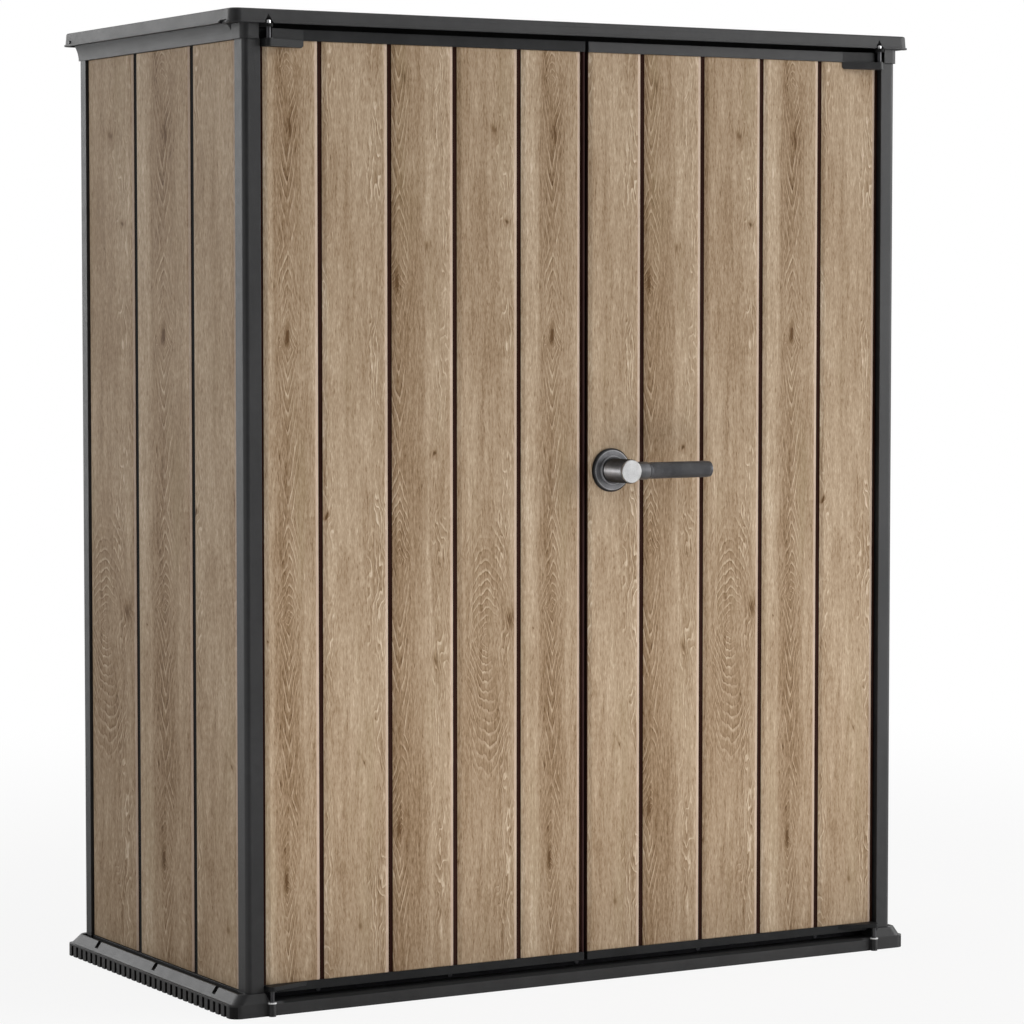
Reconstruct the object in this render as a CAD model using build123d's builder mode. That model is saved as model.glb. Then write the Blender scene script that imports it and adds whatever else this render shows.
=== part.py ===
from build123d import *

import os
from math import sqrt

# A tall two-door storage shed in resin: a ribbed floor panel, corner posts, plank-faced walls
# and doors, a capped roof, and a lever handle that turns a latch behind the doors.
# Millimetres. +X to the right of a person facing the doors, +Y to the back, +Z up.
# The origin is on the ground, at the middle of the floor panel.

# Running and assembly clearances
SLIDE_FIT = 0.3        # each side of a piece that slides or plugs in
PIN_FIT = 0.06         # radial, round a turning pin
BUSH_FIT = 0.05        # radial, round a bush or a screw shank
BORE_FIT = 0.85        # radial, round the corners of the handle's square spindle
TURN_GAP = 0.5         # between faces that turn past each other
WALL_GAP = 0.5         # between a wall and the post beside it
CUT_OVER = 1.0         # how far a cut runs past the face that it opens

# Floor panel
BASE_W = 1402.0        # left to right
BASE_D = 718.0         # front to back
BASE_R = 18.0          # corners in plan
DECK_Z = 40.0          # deck above the ground
DECK_T = 5.0           # deck plate
SKIRT_BAND = 23.0      # upright slotted band round the foot
SHOULDER = 5.0         # ledge over the slotted side bands
SIDE_RUN = 12.0        # lean of the side slope above the band
FRONT_RUN = 2.0
REAR_RUN = 14.0
SIDE_LEDGE = 31.0      # floor that shows outside the posts
FRONT_LEDGE = 6.0
REAR_LEDGE = 16.0
SILL_DROP = 16.0       # sill under the doors, below the deck
SILL_FACE = 20.0       # upright foot of the sill's face
SILL_RUN = 3.0         # how far its upper part leans back
FOOT_LEAN = 10.0       # slant of each front foot's inner side
SLOT_PITCH = 22.0      # slots of the side bands
SLOT_W = 9.0
SLOT_COVER = 3.0       # band left over each slot
SLOT_DEPTH = 6.0
NOTCH_COUNT = 3        # drain notches in each side slope
NOTCH_PITCH = 252.0
NOTCH_Y = -11.0        # middle notch
NOTCH_W = 13.0
NOTCH_DROP = 11.0      # below the deck
TRENCH_RIM = 3.0       # rim between the side slope and the drain behind it
TRENCH_DEPTH = 10.0
CELL_COLUMNS = 10      # hollows under the deck
CELL_ROWS = 5
CELL_RIB = 6.0         # wall between two hollows
CELL_MARGIN = 50.0     # solid edge round the hollows
ANCHOR_COLUMNS = 8     # ground anchor holes, hollows apart in X
ANCHOR_ROWS = 3        # and in Y
ANCHOR_R = 4.5
ANCHOR_BOSS_R = 13.0

# Corner posts
POST_W = 31.0
FRONT_POST_D = 35.0
REAR_POST_D = 30.0
POST_WALL = 3.0
POST_R = 9.0           # outer corner
SPIGOT_H = 30.0        # pegs that locate the posts
SPIGOT_GAP = 2.0
POST_FOOT = 12.0       # whole foot of a post, below its slots

# Upper frame
WALL_H = 1617.0        # posts and walls, above the deck
FASCIA_H = 45.0        # frame between the eaves and the roof's seat
COVE_FOOT = 0.5        # fascia beyond the post at its foot
COVE_OUT = 8.5         # and at its top
COVE_H = 27.0
COVE_SAG = 2.2         # hollow of the cove
LIP_DROP = 17.0        # inner lip of the fascia, below the eaves
LIP_T = 3.0
FASCIA_END_CUT = 12.0  # slanted front end of the side fascia
CAP_OUT = 4.0          # corner bracket beyond its post
CAP_STEP = 4.0         # bracket set back from the post's inner side
HEADER_D = 32.0
HEADER_H = 39.0        # header beam, below the roof's seat
STOP_T = 4.0           # door stop rail and threshold strip
STOP_DROP = 25.0       # stop rail below the header beam
THRESHOLD_LIFT = 1.0   # threshold strip above the sill
THRESHOLD_OVERLAP = 4.5            # its top above the doors' bottom rails

# Walls and boards
WALL_INSET = 3.0       # board faces behind the posts' faces
BOARD_T = 3.5
BOARD_BEVEL = 1.5
BOARD_END_GAP = 1.5    # board ends above the deck
GROOVE_W = 6.0
SHEET_T = 2.0          # dark sheet behind the boards
PANEL_DEPTH = 17.0     # sheet and ribs together
RIB_T = 2.5
CROSS_RIBS = 4
TONGUE_T = 5.0         # tongues that enter the posts
TONGUE_L = 10.0
SIDE_BOARDS = (182.5, 238.5)       # from the front post, the last board fills the rest
REAR_BOARDS = (125.0, 125.0, 125.0, 125.0)
REAR_JOINT_W = 24.0

# Roof
ROOF_SIDE = 24.0       # top edge beyond the posts
ROOF_FRONT = 8.0
ROOF_REAR = 14.0
ROOF_T = 5.0           # rim above the frame
ROOF_CROWN = 6.0       # rise of the middle
ROOF_RIM = 30.0        # flat margin
ROOF_CROWN_IN = 120.0  # from the edge to the flat middle
ROOF_LIP_H = 24.0      # lip round the edge
ROOF_LIP_T = 3.5
ROOF_DRAFT = 2.0       # lip wider at its foot
ROOF_BEAD = 2.0        # drip bead round the foot
ROOF_BEAD_H = 3.0
ROOF_R = 16.0
ROOF_EDGE_R = 3.5
CLIP_BACK = 25.0       # snap clip in each side lip, behind the posts' front
CLIP_L = 26.0
CLIP_H = 5.0
CLIP_SET = 2.0         # clip inside the roof's top edge
ROOF_SCREW_IN = 17.0   # screw in each side lip, from the rear posts' back
ROOF_SCREW_UP = 7.0    # and above the lip's foot
ROOF_SCREW_OVER = 1.0  # head beyond the shank
ROOF_SCREW_L = 27.0

# Doors
DOOR_GAP_X = 4.5       # middle of the gap between the doors
DOOR_GAP = 7.0
DOOR_INSET = 7.0       # board faces behind the posts' faces
DOOR_SIDE_GAP = 3.0    # door to post
DOOR_FOOT_GAP = 13.0   # bottom rail above the sill
DOOR_TOP_GAP = 8.0     # top rail below the roof's lip
BOTTOM_RAIL_H = 14.5
TOP_RAIL_H = 18.5
HINGE_MARGIN = 4.5     # dark edge beside the board at the hinge
FREE_MARGIN = 7.0      # left door, between its free edge and the nearest board
RIGHT_FREE_MARGIN = 1.0
LEFT_BOARDS = (126.0, 128.5, 128.5, 134.0)    # from the free edge, the last fills the rest
RIGHT_BOARDS = (114.0, 128.0, 128.0, 128.0)
RAIL_PROUD = 2.0       # rails in front of the boards
SKIN_T = 2.0           # inner skin
MEETING_W = 3.5        # dark trim on the left door's free edge
MEETING_PROUD = 0.8
STOP_GAP = 1.0         # door to its stop

# Hinges
HINGE_IN = 11.5        # axis inside the post's inner side
HINGE_OUT = 9.0        # axis in front of the posts
PIN_R = 4.0
PIN_EASE = 0.8         # chamfer of the pin's ends
PIN_END_GAP = 2.0      # pin ends clear of blind holes
PIN_HEAD = 5.5         # upper pin above its arm
BUSH_WALL = 1.5
BUSH_FLANGE = 1.5      # flange beyond the bush
BUSH_FLANGE_T = 1.0
EAR_WALL = 2.0         # ear round its bush
EAR_END = 84.0         # ear's plate, from the post's inner side
EAR_CORNER_R = 6.0     # rounded inner corner of the upper ear
UPPER_EAR_T = 13.0
UPPER_EAR_RISE = 0.5   # its top above the boards
LOWER_EAR_LIFT = 7.0   # lower ear above the foot of its rail
RECESS_W = 20.0        # corner cut away round the pin
RECESS_D = 8.0
BARREL_WALL = 2.5      # lower barrel on the floor panel
WASHER_RIM = 3.5       # washer beyond its pin
WASHER_T = 2.0
ARM_T = 6.0            # bracket arm that holds the upper pin
ARM_GAP = 1.5          # arm above the door
ARM_ROOT = 2.0         # arm inside the bracket
ARM_ROOT_D = 18.0      # root of the arm, front to back
SCALLOP_GAP = 4.8      # relief in the roof's lip round each pin
SCALLOP_H = 16.0

# Lever handle, on the right door
HUB_FROM_EDGE = 48.0   # turning axis from the door's free edge
HUB_Z = 915.5
ROSE_R = 39.0
ROSE_T = 8.0
ROSE_BEVEL = 4.0
RING_OUT = 4.0         # ring of the rose, beyond the neck
RING_T = 4.0
NECK_R = 21.5
NECK_FRONT = 69.0      # from the boards to the neck's front
HANDLE_EASE = 1.0      # softened rims of the ring, neck and cap
CAP_T = 4.0
LEVER_SET = 1.0        # collar behind the neck's front
GRIP_R = 14.75
GRIP_L = 133.0
GRIP_EASE = 3.0
COLLAR_STEP = 1.25     # collar beyond the grip
COLLAR_START = 12.0    # from the hub's axis
COLLAR_L = 32.0
SPINDLE_W = 8.0
SPINDLE_SOCKET = 14.0  # spindle inside the neck
PLATE_R = 25.0         # inner plate behind the handle
PLATE_T = 2.5
LATCH_WALL = 8.0       # latch hub round the spindle
LATCH_T = 5.0
LATCH_W = 18.0
LATCH_SHORT = 1.0      # latch short of the strike's far edge
LATCH_WASHER_IN = 1.0  # washer inside the latch's hub
STRIKE_W = 24.0
STRIKE_H = 70.0
STRIKE_T = 1.5
STRIKE_EDGE = 6.0      # strike from the left door's free edge

# Bolts of the left door
BOLT_FROM_EDGE = 41.0
BOLT_W = 12.0
BOLT_T = 6.0
BOLT_L = 150.0
BOLT_GAP = 1.2         # bolt behind the stop rail
BOLT_REST_GAP = 3.0    # bolt end short of the stop at rest
GUIDE_L = 60.0
GUIDE_END = 22.0       # guide back from the bolt's tip
GUIDE_WALL = 3.0
GUIDE_EAR = 12.0
GUIDE_EAR_T = 2.5
KNOB_R = 8.0
KNOB_L = 12.0
KNOB_EASE = 2.0
KNOB_FROM_END = 20.0

# Screws
SCREW_R = 2.0
SCREW_OVER = 2.0       # head beyond the shank
SCREW_HEAD_T = 1.2
SCREW_L = 9.0
THRESHOLD_SCREWS = 5
THRESHOLD_SCREW_PITCH = 260.0

# Places worked out from the sizes above
SLOPE_TOP_X = BASE_W / 2 - SHOULDER - SIDE_RUN
TRENCH_X = SLOPE_TOP_X - TRENCH_RIM
POST_OUT = BASE_W / 2 - SIDE_LEDGE
POST_IN = POST_OUT - POST_W
FRONT_Y = FRONT_LEDGE - BASE_D / 2
REAR_Y = BASE_D / 2 - REAR_LEDGE
FRONT_POST_BACK = FRONT_Y + FRONT_POST_D
REAR_POST_FRONT = REAR_Y - REAR_POST_D

EAVES_Z = DECK_Z + WALL_H
SEAT_Z = EAVES_Z + FASCIA_H
HEADER_Z = SEAT_Z - HEADER_H
STOP_Z = HEADER_Z - STOP_DROP
ROOF_TOP_Z = SEAT_Z + ROOF_T
ROOF_LIP_Z = ROOF_TOP_Z - ROOF_LIP_H
CLIP_Y = FRONT_Y + CLIP_BACK
ROOF_SCREW_Y = REAR_Y - ROOF_SCREW_IN
ROOF_SCREW_Z = ROOF_LIP_Z + ROOF_SCREW_UP

SILL_Z = DECK_Z - SILL_DROP
DOOR_FOOT_Z = SILL_Z + DOOR_FOOT_GAP
BOARD_FOOT_Z = DOOR_FOOT_Z + BOTTOM_RAIL_H
DOOR_TOP_Z = ROOF_LIP_Z - DOOR_TOP_GAP
BOARD_TOP_Z = DOOR_TOP_Z - TOP_RAIL_H
THRESHOLD_FOOT_Z = SILL_Z + THRESHOLD_LIFT
THRESHOLD_TOP_Z = BOARD_FOOT_Z + THRESHOLD_OVERLAP

SIDE_CORE_X = POST_OUT - WALL_INSET - BOARD_T
SIDE_IN_X = SIDE_CORE_X - PANEL_DEPTH
SIDE_START_Y = FRONT_POST_BACK + WALL_GAP
SIDE_END_Y = REAR_POST_FRONT - WALL_GAP
REAR_CORE_Y = REAR_Y - WALL_INSET - BOARD_T
REAR_IN_Y = REAR_CORE_Y - PANEL_DEPTH
FASCIA_IN_X = SIDE_IN_X - WALL_GAP - LIP_T
FASCIA_IN_Y = REAR_IN_Y - WALL_GAP - LIP_T

DOOR_FACE_Y = FRONT_Y + DOOR_INSET
DOOR_CORE_Y = DOOR_FACE_Y + BOARD_T
DOOR_RIB_Y = DOOR_CORE_Y + PANEL_DEPTH
DOOR_IN_Y = DOOR_RIB_Y + SKIN_T
RAIL_Y = DOOR_FACE_Y - RAIL_PROUD
DOOR_EDGE_X = POST_IN - DOOR_SIDE_GAP
LEFT_FREE_X = DOOR_GAP_X - DOOR_GAP / 2
RIGHT_FREE_X = DOOR_GAP_X + DOOR_GAP / 2
STOP_Y = DOOR_IN_Y + STOP_GAP

HINGE_X = POST_IN - HINGE_IN
HINGE_Y = FRONT_Y - HINGE_OUT
BUSH_R = PIN_R + BUSH_WALL
EAR_R = BUSH_R + EAR_WALL
EAR_INNER_X = POST_IN - EAR_END
RECESS_X = POST_IN - RECESS_W
UPPER_EAR_TOP = BOARD_TOP_Z + UPPER_EAR_RISE
UPPER_EAR_Z = UPPER_EAR_TOP - UPPER_EAR_T
UPPER_BUSH_H = UPPER_EAR_T - PIN_END_GAP
LOWER_EAR_Z = DOOR_FOOT_Z + LOWER_EAR_LIFT
LOWER_BUSH_H = BOARD_FOOT_Z - LOWER_EAR_Z - PIN_END_GAP / 2
ARM_Z = DOOR_TOP_Z + ARM_GAP
UPPER_PIN_TOP = ARM_Z + ARM_T + PIN_HEAD
BARREL_TOP = SILL_Z - WASHER_T

HUB_X = RIGHT_FREE_X + HUB_FROM_EDGE
CAP_R = NECK_R - HANDLE_EASE
COLLAR_R = GRIP_R + COLLAR_STEP
COLLAR_END = COLLAR_START + COLLAR_L
BORE_R = SPINDLE_W / sqrt(2) + BORE_FIT
LATCH_HUB_R = SPINDLE_W / 2 + LATCH_WALL
LATCH_REACH = HUB_FROM_EDGE + DOOR_GAP + STRIKE_EDGE + STRIKE_W - LATCH_SHORT
NECK_Y = DOOR_FACE_Y - NECK_FRONT
NECK_BACK_Y = DOOR_FACE_Y - ROSE_T - RING_T - TURN_GAP
LEVER_Y = NECK_Y + COLLAR_R + LEVER_SET
LATCH_Y = DOOR_IN_Y + PLATE_T + SCREW_HEAD_T + TURN_GAP
BOLT_X = LEFT_FREE_X - BOLT_FROM_EDGE
BOLT_Y = STOP_Y + STOP_T + BOLT_GAP
TOP_TIP_Z = STOP_Z - BOLT_REST_GAP
BOTTOM_TIP_Z = THRESHOLD_TOP_Z + BOLT_REST_GAP
GUIDE_HALF = BOLT_W / 2 + SLIDE_FIT + GUIDE_WALL
SCREW_HEAD_R = SCREW_R + SCREW_OVER

# Screw places: the middle of the face under each head
PLATE_SCREW_OUT = (PLATE_R + LATCH_HUB_R) / 2
THRESHOLD_SCREW_Z = (SILL_Z + DOOR_FOOT_Z) / 2
THRESHOLD_SPOTS = [((screw - (THRESHOLD_SCREWS - 1) / 2) * THRESHOLD_SCREW_PITCH, STOP_Y, THRESHOLD_SCREW_Z)
                   for screw in range(THRESHOLD_SCREWS)]
PLATE_SPOTS = [(HUB_X + PLATE_SCREW_OUT, DOOR_IN_Y + PLATE_T, HUB_Z),
               (HUB_X, DOOR_IN_Y + PLATE_T, HUB_Z + PLATE_SCREW_OUT)]
STRIKE_SPOTS = [(LEFT_FREE_X - STRIKE_EDGE - STRIKE_W / 2, DOOR_IN_Y + STRIKE_T, HUB_Z + way * STRIKE_H / 3)
                for way in (-1, 1)]
GUIDE_SPOTS = [(BOLT_X + way * (GUIDE_HALF + GUIDE_EAR / 2), DOOR_IN_Y + GUIDE_EAR_T, guide_z)
               for way in (-1, 1)
               for guide_z in (TOP_TIP_Z - GUIDE_END - GUIDE_L / 2, BOTTOM_TIP_Z + GUIDE_END + GUIDE_L / 2)]

os.makedirs("parts", exist_ok=True)


def keep(piece, name):
    """Label a finished piece and write it to its own file."""
    piece.label = name
    export_step(piece, f"parts/{name}.step")


def slab(x, y, z, mode=Mode.ADD):
    """A block between three (low, high) pairs, in the frame of the piece being built."""
    with Locations(((x[0] + x[1]) / 2, (y[0] + y[1]) / 2, (z[0] + z[1]) / 2)):
        Box(x[1] - x[0], y[1] - y[0], z[1] - z[0], mode=mode)


def across(side, inner, outer):
    """A (low, high) pair in X from two distances to the middle, on the side -1 or +1."""
    return tuple(sorted((side * inner, side * outer)))


def rod(radius, start, length, direction, mode=Mode.ADD):
    """A round bar from a start point along a direction."""
    with BuildSketch(Plane(start, z_dir=direction)) as end:
        Circle(radius)
    extrude(end.sketch, amount=length, mode=mode)


def drill(spots, inward, depth):
    """Screw holes from just outside their spots to a depth."""
    with BuildPart(mode=Mode.PRIVATE) as holes:
        for spot in spots:
            start = tuple(at - CUT_OVER * step for at, step in zip(spot, inward))
            rod(SCREW_R + BUSH_FIT, start, depth + CUT_OVER, inward)
    add(holes.part, mode=Mode.SUBTRACT)


def board_spans(start, widths, end):
    """Board edges from start to end, with a groove between boards; the last fills the rest."""
    way = 1 if end > start else -1
    spans = []
    edge = start
    seam = start
    for width in widths:
        seam += way * width
        spans.append((edge, seam - way * GROOVE_W / 2))
        edge = seam + way * GROOVE_W / 2
    spans.append((edge, end))
    return [tuple(sorted(span)) for span in spans]


def seams(start, widths, end):
    """Middles of the grooves between the boards."""
    spans = sorted(board_spans(start, widths, end))
    return [(low[1] + high[0]) / 2 for low, high in zip(spans, spans[1:])]


# Wall frames: local x runs along the wall, local y is up, local z points out of the shed, and
# local z = 0 is the plane between the boards and the dark sheet behind them.
LEFT_WALL = Plane((-SIDE_CORE_X, 0, 0), x_dir=(0, -1, 0), z_dir=(-1, 0, 0))
RIGHT_WALL = Plane((SIDE_CORE_X, 0, 0), x_dir=(0, 1, 0), z_dir=(1, 0, 0))
REAR_WALL = Plane((0, REAR_CORE_Y, 0), x_dir=(-1, 0, 0), z_dir=(0, 1, 0))
DOOR_WALL = Plane((0, DOOR_CORE_Y, 0), x_dir=(1, 0, 0), z_dir=(0, -1, 0))


def boards(plane, spans, foot, top):
    """The wood-look boards of one wall, bevelled along their long edges."""
    with BuildPart(plane) as made:
        for span in spans:
            slab(span, (foot, top), (0, BOARD_T))
        fronts = made.faces().filter_by(lambda face: face.normal_at().dot(plane.z_dir) > 0.99)
        chamfer(fronts.edges().filter_by(Axis.Z), BOARD_BEVEL)
    return made.part


def ribbed_panel(plane, width, height, ribs, tongues=()):
    """A dark sheet with a rim, upright and cross ribs behind it, and tongues at its ends."""
    back = (-PANEL_DEPTH, -SHEET_T)
    with BuildPart(plane) as made:
        slab(width, height, (-SHEET_T, 0))
        for edge in (width[0] + RIB_T / 2, *ribs, width[1] - RIB_T / 2):
            slab((edge - RIB_T / 2, edge + RIB_T / 2), height, back)
        for step in range(CROSS_RIBS + 2):
            rib_z = height[0] + RIB_T / 2 + step * (height[1] - height[0] - RIB_T) / (CROSS_RIBS + 1)
            slab(width, (rib_z - RIB_T / 2, rib_z + RIB_T / 2), back)
        for tongue in tongues:
            middle = -PANEL_DEPTH / 2
            slab(tongue, (height[0] + POST_FOOT + SLIDE_FIT, height[1]),
                 (middle - TONGUE_T / 2, middle + TONGUE_T / 2))
    return made.part


def spigot_y(front):
    """Depth range of the peg inside a front or a rear post, clear of the wall tongues."""
    if front:
        return (FRONT_Y + POST_WALL + SPIGOT_GAP, FRONT_POST_BACK - TONGUE_L - SPIGOT_GAP)
    return (REAR_POST_FRONT + TONGUE_L + SPIGOT_GAP, REAR_Y - POST_WALL - SPIGOT_GAP)


def spigot_x(side):
    """Width range of the peg inside a post."""
    return across(side, POST_IN + TONGUE_L + SPIGOT_GAP, POST_OUT - POST_WALL - SPIGOT_GAP)


CELL_W = (BASE_W - 2 * CELL_MARGIN) / CELL_COLUMNS
CELL_D = (BASE_D - 2 * CELL_MARGIN) / CELL_ROWS
ANCHORS = GridLocations(ANCHOR_COLUMNS * CELL_W, ANCHOR_ROWS * CELL_D, 2, 2)

# Floor panel: an upright slotted band, a sloping edge with a drain behind it, the sill, hollows
# under the deck, ground anchor bosses, post pegs and the barrels of the lower hinges.
with BuildPart() as floor_panel:
    with BuildSketch():
        RectangleRounded(BASE_W, BASE_D, BASE_R)
    extrude(amount=SKIRT_BAND)
    with BuildSketch(Plane.XY.offset(SKIRT_BAND)):
        RectangleRounded(BASE_W - 2 * SHOULDER, BASE_D, BASE_R)
    with BuildSketch(Plane.XY.offset(DECK_Z)):
        with Locations((0, (FRONT_RUN - REAR_RUN) / 2)):
            RectangleRounded(2 * SLOPE_TOP_X, BASE_D - FRONT_RUN - REAR_RUN, BASE_R)
    loft()
    with BuildSketch(Plane.XZ.offset(-STOP_Y - STOP_T)):
        with BuildLine():
            foot_x = POST_IN - FOOT_LEAN
            Polyline((-foot_x, SILL_Z), (foot_x, SILL_Z), (POST_IN, DECK_Z + CUT_OVER),
                     (-POST_IN, DECK_Z + CUT_OVER), close=True)
        make_face()
    extrude(amount=BASE_D, mode=Mode.SUBTRACT)
    with BuildSketch(Plane.YZ):
        with BuildLine():
            front = -BASE_D / 2
            Polyline((front, SILL_FACE), (front + SILL_RUN, SILL_Z), (front - CUT_OVER, SILL_Z),
                     (front - CUT_OVER, SILL_FACE), close=True)
        make_face()
    extrude(amount=POST_IN - FOOT_LEAN, both=True, mode=Mode.SUBTRACT)
    with GridLocations(CELL_W, CELL_D, CELL_COLUMNS, CELL_ROWS):
        Box(CELL_W - CELL_RIB, CELL_D - CELL_RIB, DECK_Z - DECK_T,
            align=(Align.CENTER, Align.CENTER, Align.MIN), mode=Mode.SUBTRACT)
    with ANCHORS:
        Cylinder(ANCHOR_BOSS_R, DECK_Z, align=(Align.CENTER, Align.CENTER, Align.MIN))
    slot_count = int((BASE_D - 2 * BASE_R - SLOT_W) / SLOT_PITCH) + 1
    with GridLocations(BASE_W, SLOT_PITCH, 2, slot_count):
        Box(2 * SLOT_DEPTH, SLOT_W, 2 * (SKIRT_BAND - SLOT_COVER), mode=Mode.SUBTRACT)
    with Locations((0, NOTCH_Y, DECK_Z - NOTCH_DROP + NOTCH_W / 2)):
        with GridLocations(BASE_W, NOTCH_PITCH, 2, NOTCH_COUNT):
            notch_l = BASE_W - 2 * TRENCH_X + 2 * CUT_OVER
            Cylinder(NOTCH_W / 2, notch_l, rotation=(0, 90, 0), mode=Mode.SUBTRACT)
            Box(notch_l, NOTCH_W, NOTCH_DROP, align=(Align.CENTER, Align.CENTER, Align.MIN),
                mode=Mode.SUBTRACT)
    trench_z = (DECK_Z - TRENCH_DEPTH, DECK_Z + CUT_OVER)
    for side in (-1, 1):
        slab(across(side, POST_OUT + WALL_GAP, TRENCH_X), (FRONT_Y + POST_R, REAR_Y - POST_R), trench_z,
             Mode.SUBTRACT)
        slab(across(side, POST_OUT - WALL_INSET + WALL_GAP, TRENCH_X), (SIDE_START_Y, SIDE_END_Y), trench_z,
             Mode.SUBTRACT)
        for is_front in (True, False):
            slab(spigot_x(side), spigot_y(is_front), (DECK_Z, DECK_Z + SPIGOT_H))
        rod(EAR_R + SLIDE_FIT, (side * HINGE_X, HINGE_Y, BARREL_TOP), DECK_Z, (0, 0, 1), Mode.SUBTRACT)
        rod(PIN_R + BARREL_WALL, (side * HINGE_X, HINGE_Y, 0), BARREL_TOP, (0, 0, 1))
        rod(PIN_R + BUSH_FIT, (side * HINGE_X, HINGE_Y, PIN_END_GAP), BARREL_TOP, (0, 0, 1), Mode.SUBTRACT)
    with ANCHORS:
        Cylinder(ANCHOR_R, 3 * DECK_Z, mode=Mode.SUBTRACT)
    drill(THRESHOLD_SPOTS, (0, 1, 0), SCREW_L + PIN_END_GAP)
keep(floor_panel.part, "floor_panel")


def corner_post(side, front):
    """A hollow corner post, slotted for the tongues of the walls beside it."""
    depth = FRONT_POST_D if front else REAR_POST_D
    middle_y = FRONT_Y + depth / 2 if front else REAR_Y - depth / 2
    outer_y = FRONT_Y if front else REAR_Y
    slot = TONGUE_T / 2 + SLIDE_FIT
    height = (DECK_Z + POST_FOOT, EAVES_Z)
    with BuildPart() as post:
        with BuildSketch(Plane.XY.offset(DECK_Z)) as section:
            with Locations((side * (POST_IN + POST_OUT) / 2, middle_y)):
                Rectangle(POST_W, depth)
            fillet(section.vertices().sort_by_distance((side * POST_OUT, outer_y, DECK_Z))[0], POST_R)
            offset(amount=-POST_WALL, kind=Kind.INTERSECTION, mode=Mode.SUBTRACT)
        extrude(amount=EAVES_Z - DECK_Z)
        side_slot_x = side * (SIDE_CORE_X - PANEL_DEPTH / 2)
        wall_y = FRONT_POST_BACK if front else REAR_POST_FRONT
        slab((side_slot_x - slot, side_slot_x + slot), (wall_y - POST_WALL, wall_y + POST_WALL), height,
             Mode.SUBTRACT)
        if not front:
            rear_slot_y = REAR_CORE_Y - PANEL_DEPTH / 2
            slab(across(side, POST_IN - POST_WALL, POST_IN + POST_WALL),
                 (rear_slot_y - slot, rear_slot_y + slot), height, Mode.SUBTRACT)
    return post.part


for side, hand in ((-1, "left"), (1, "right")):
    keep(corner_post(side, True), f"{hand}_front_post")
    keep(corner_post(side, False), f"{hand}_rear_post")

# Side walls, each a ribbed dark panel faced with boards
wall_height = (DECK_Z, EAVES_Z)
board_height = (DECK_Z + BOARD_END_GAP, EAVES_Z - WALL_GAP)
for plane, hand, way in ((LEFT_WALL, "left", -1), (RIGHT_WALL, "right", 1)):
    ends = (way * SIDE_START_Y, SIDE_BOARDS, way * SIDE_END_Y)
    wall_width = tuple(sorted((ends[0], ends[2])))
    reach = TONGUE_L - WALL_GAP
    wall_tongues = ((wall_width[0] - reach, wall_width[0]), (wall_width[1], wall_width[1] + reach))
    keep(ribbed_panel(plane, wall_width, wall_height, seams(*ends), wall_tongues), f"{hand}_wall_panel")
    keep(boards(plane, board_spans(*ends), *board_height), f"{hand}_wall_boards")

# Rear wall, two panels on a joint post
rear_start = POST_IN - WALL_GAP
rear_end = REAR_JOINT_W / 2 + WALL_GAP
rear_boards = []
for way, hand in ((1, "left"), (-1, "right")):
    ends = (way * rear_start, REAR_BOARDS, way * rear_end)
    rear_width = tuple(sorted((ends[0], ends[2])))
    reach = TONGUE_L - WALL_GAP
    rear_tongues = ((rear_width[0] - reach, rear_width[0]), (rear_width[1], rear_width[1] + reach))
    keep(ribbed_panel(REAR_WALL, rear_width, wall_height, seams(*ends), rear_tongues),
         f"{hand}_rear_panel")
    rear_boards += board_spans(*ends)
keep(boards(REAR_WALL, rear_boards, *board_height), "rear_wall_boards")

with BuildPart(REAR_WALL) as rear_joint_post:
    slab((-REAR_JOINT_W / 2, REAR_JOINT_W / 2), wall_height, (-PANEL_DEPTH, BOARD_T))
    for way in (-1, 1):
        slot_x = across(way, REAR_JOINT_W / 2 - TONGUE_L - SLIDE_FIT, REAR_JOINT_W / 2)
        slot = TONGUE_T / 2 + SLIDE_FIT
        slab(slot_x, wall_height, (-PANEL_DEPTH / 2 - slot, -PANEL_DEPTH / 2 + slot), Mode.SUBTRACT)
keep(rear_joint_post.part, "rear_joint_post")


def cove_section(inner, post_face):
    """The fascia's section: flat inside, coved outside. First coordinate points outward."""
    foot = post_face + COVE_FOOT
    top = post_face + COVE_OUT
    Polyline((foot, EAVES_Z), (inner, EAVES_Z), (inner, SEAT_Z), (top, SEAT_Z), (top, EAVES_Z + COVE_H))
    middle = ((foot + top) / 2 - COVE_SAG, EAVES_Z + COVE_H / 2)
    ThreePointArc((top, EAVES_Z + COVE_H), middle, (foot, EAVES_Z))


def side_fascia(side):
    """Coved moulding over a side wall, with an inner lip and a peg in the rear post."""
    section_plane = Plane((0, FRONT_POST_BACK + CAP_OUT, 0), x_dir=(side, 0, 0), z_dir=(0, -side, 0))
    length = REAR_Y - FRONT_POST_BACK - CAP_OUT
    with BuildPart() as fascia:
        with BuildSketch(section_plane):
            with BuildLine():
                cove_section(FASCIA_IN_X, POST_OUT)
            make_face()
        extrude(amount=-side * length)
        slab(across(side, FASCIA_IN_X, FASCIA_IN_X + LIP_T), (FRONT_POST_BACK + CAP_OUT, SIDE_END_Y),
             (EAVES_Z - LIP_DROP, EAVES_Z))
        slab(spigot_x(side), spigot_y(False), (EAVES_Z - SPIGOT_H, EAVES_Z))
        with BuildSketch(Plane.XY.offset(EAVES_Z)):
            with BuildLine():
                start_y = FRONT_POST_BACK + CAP_OUT
                Polyline((side * POST_OUT, start_y), (side * (POST_OUT + FASCIA_END_CUT), start_y),
                         (side * (POST_OUT + FASCIA_END_CUT), start_y + FASCIA_END_CUT), close=True)
            make_face()
        extrude(amount=SEAT_Z - EAVES_Z, mode=Mode.SUBTRACT)
        rod(SCREW_R + BUSH_FIT, (side * (POST_OUT + ROOF_SIDE), ROOF_SCREW_Y, ROOF_SCREW_Z), ROOF_SCREW_L,
            (-side, 0, 0), Mode.SUBTRACT)
    return fascia.part


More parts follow.
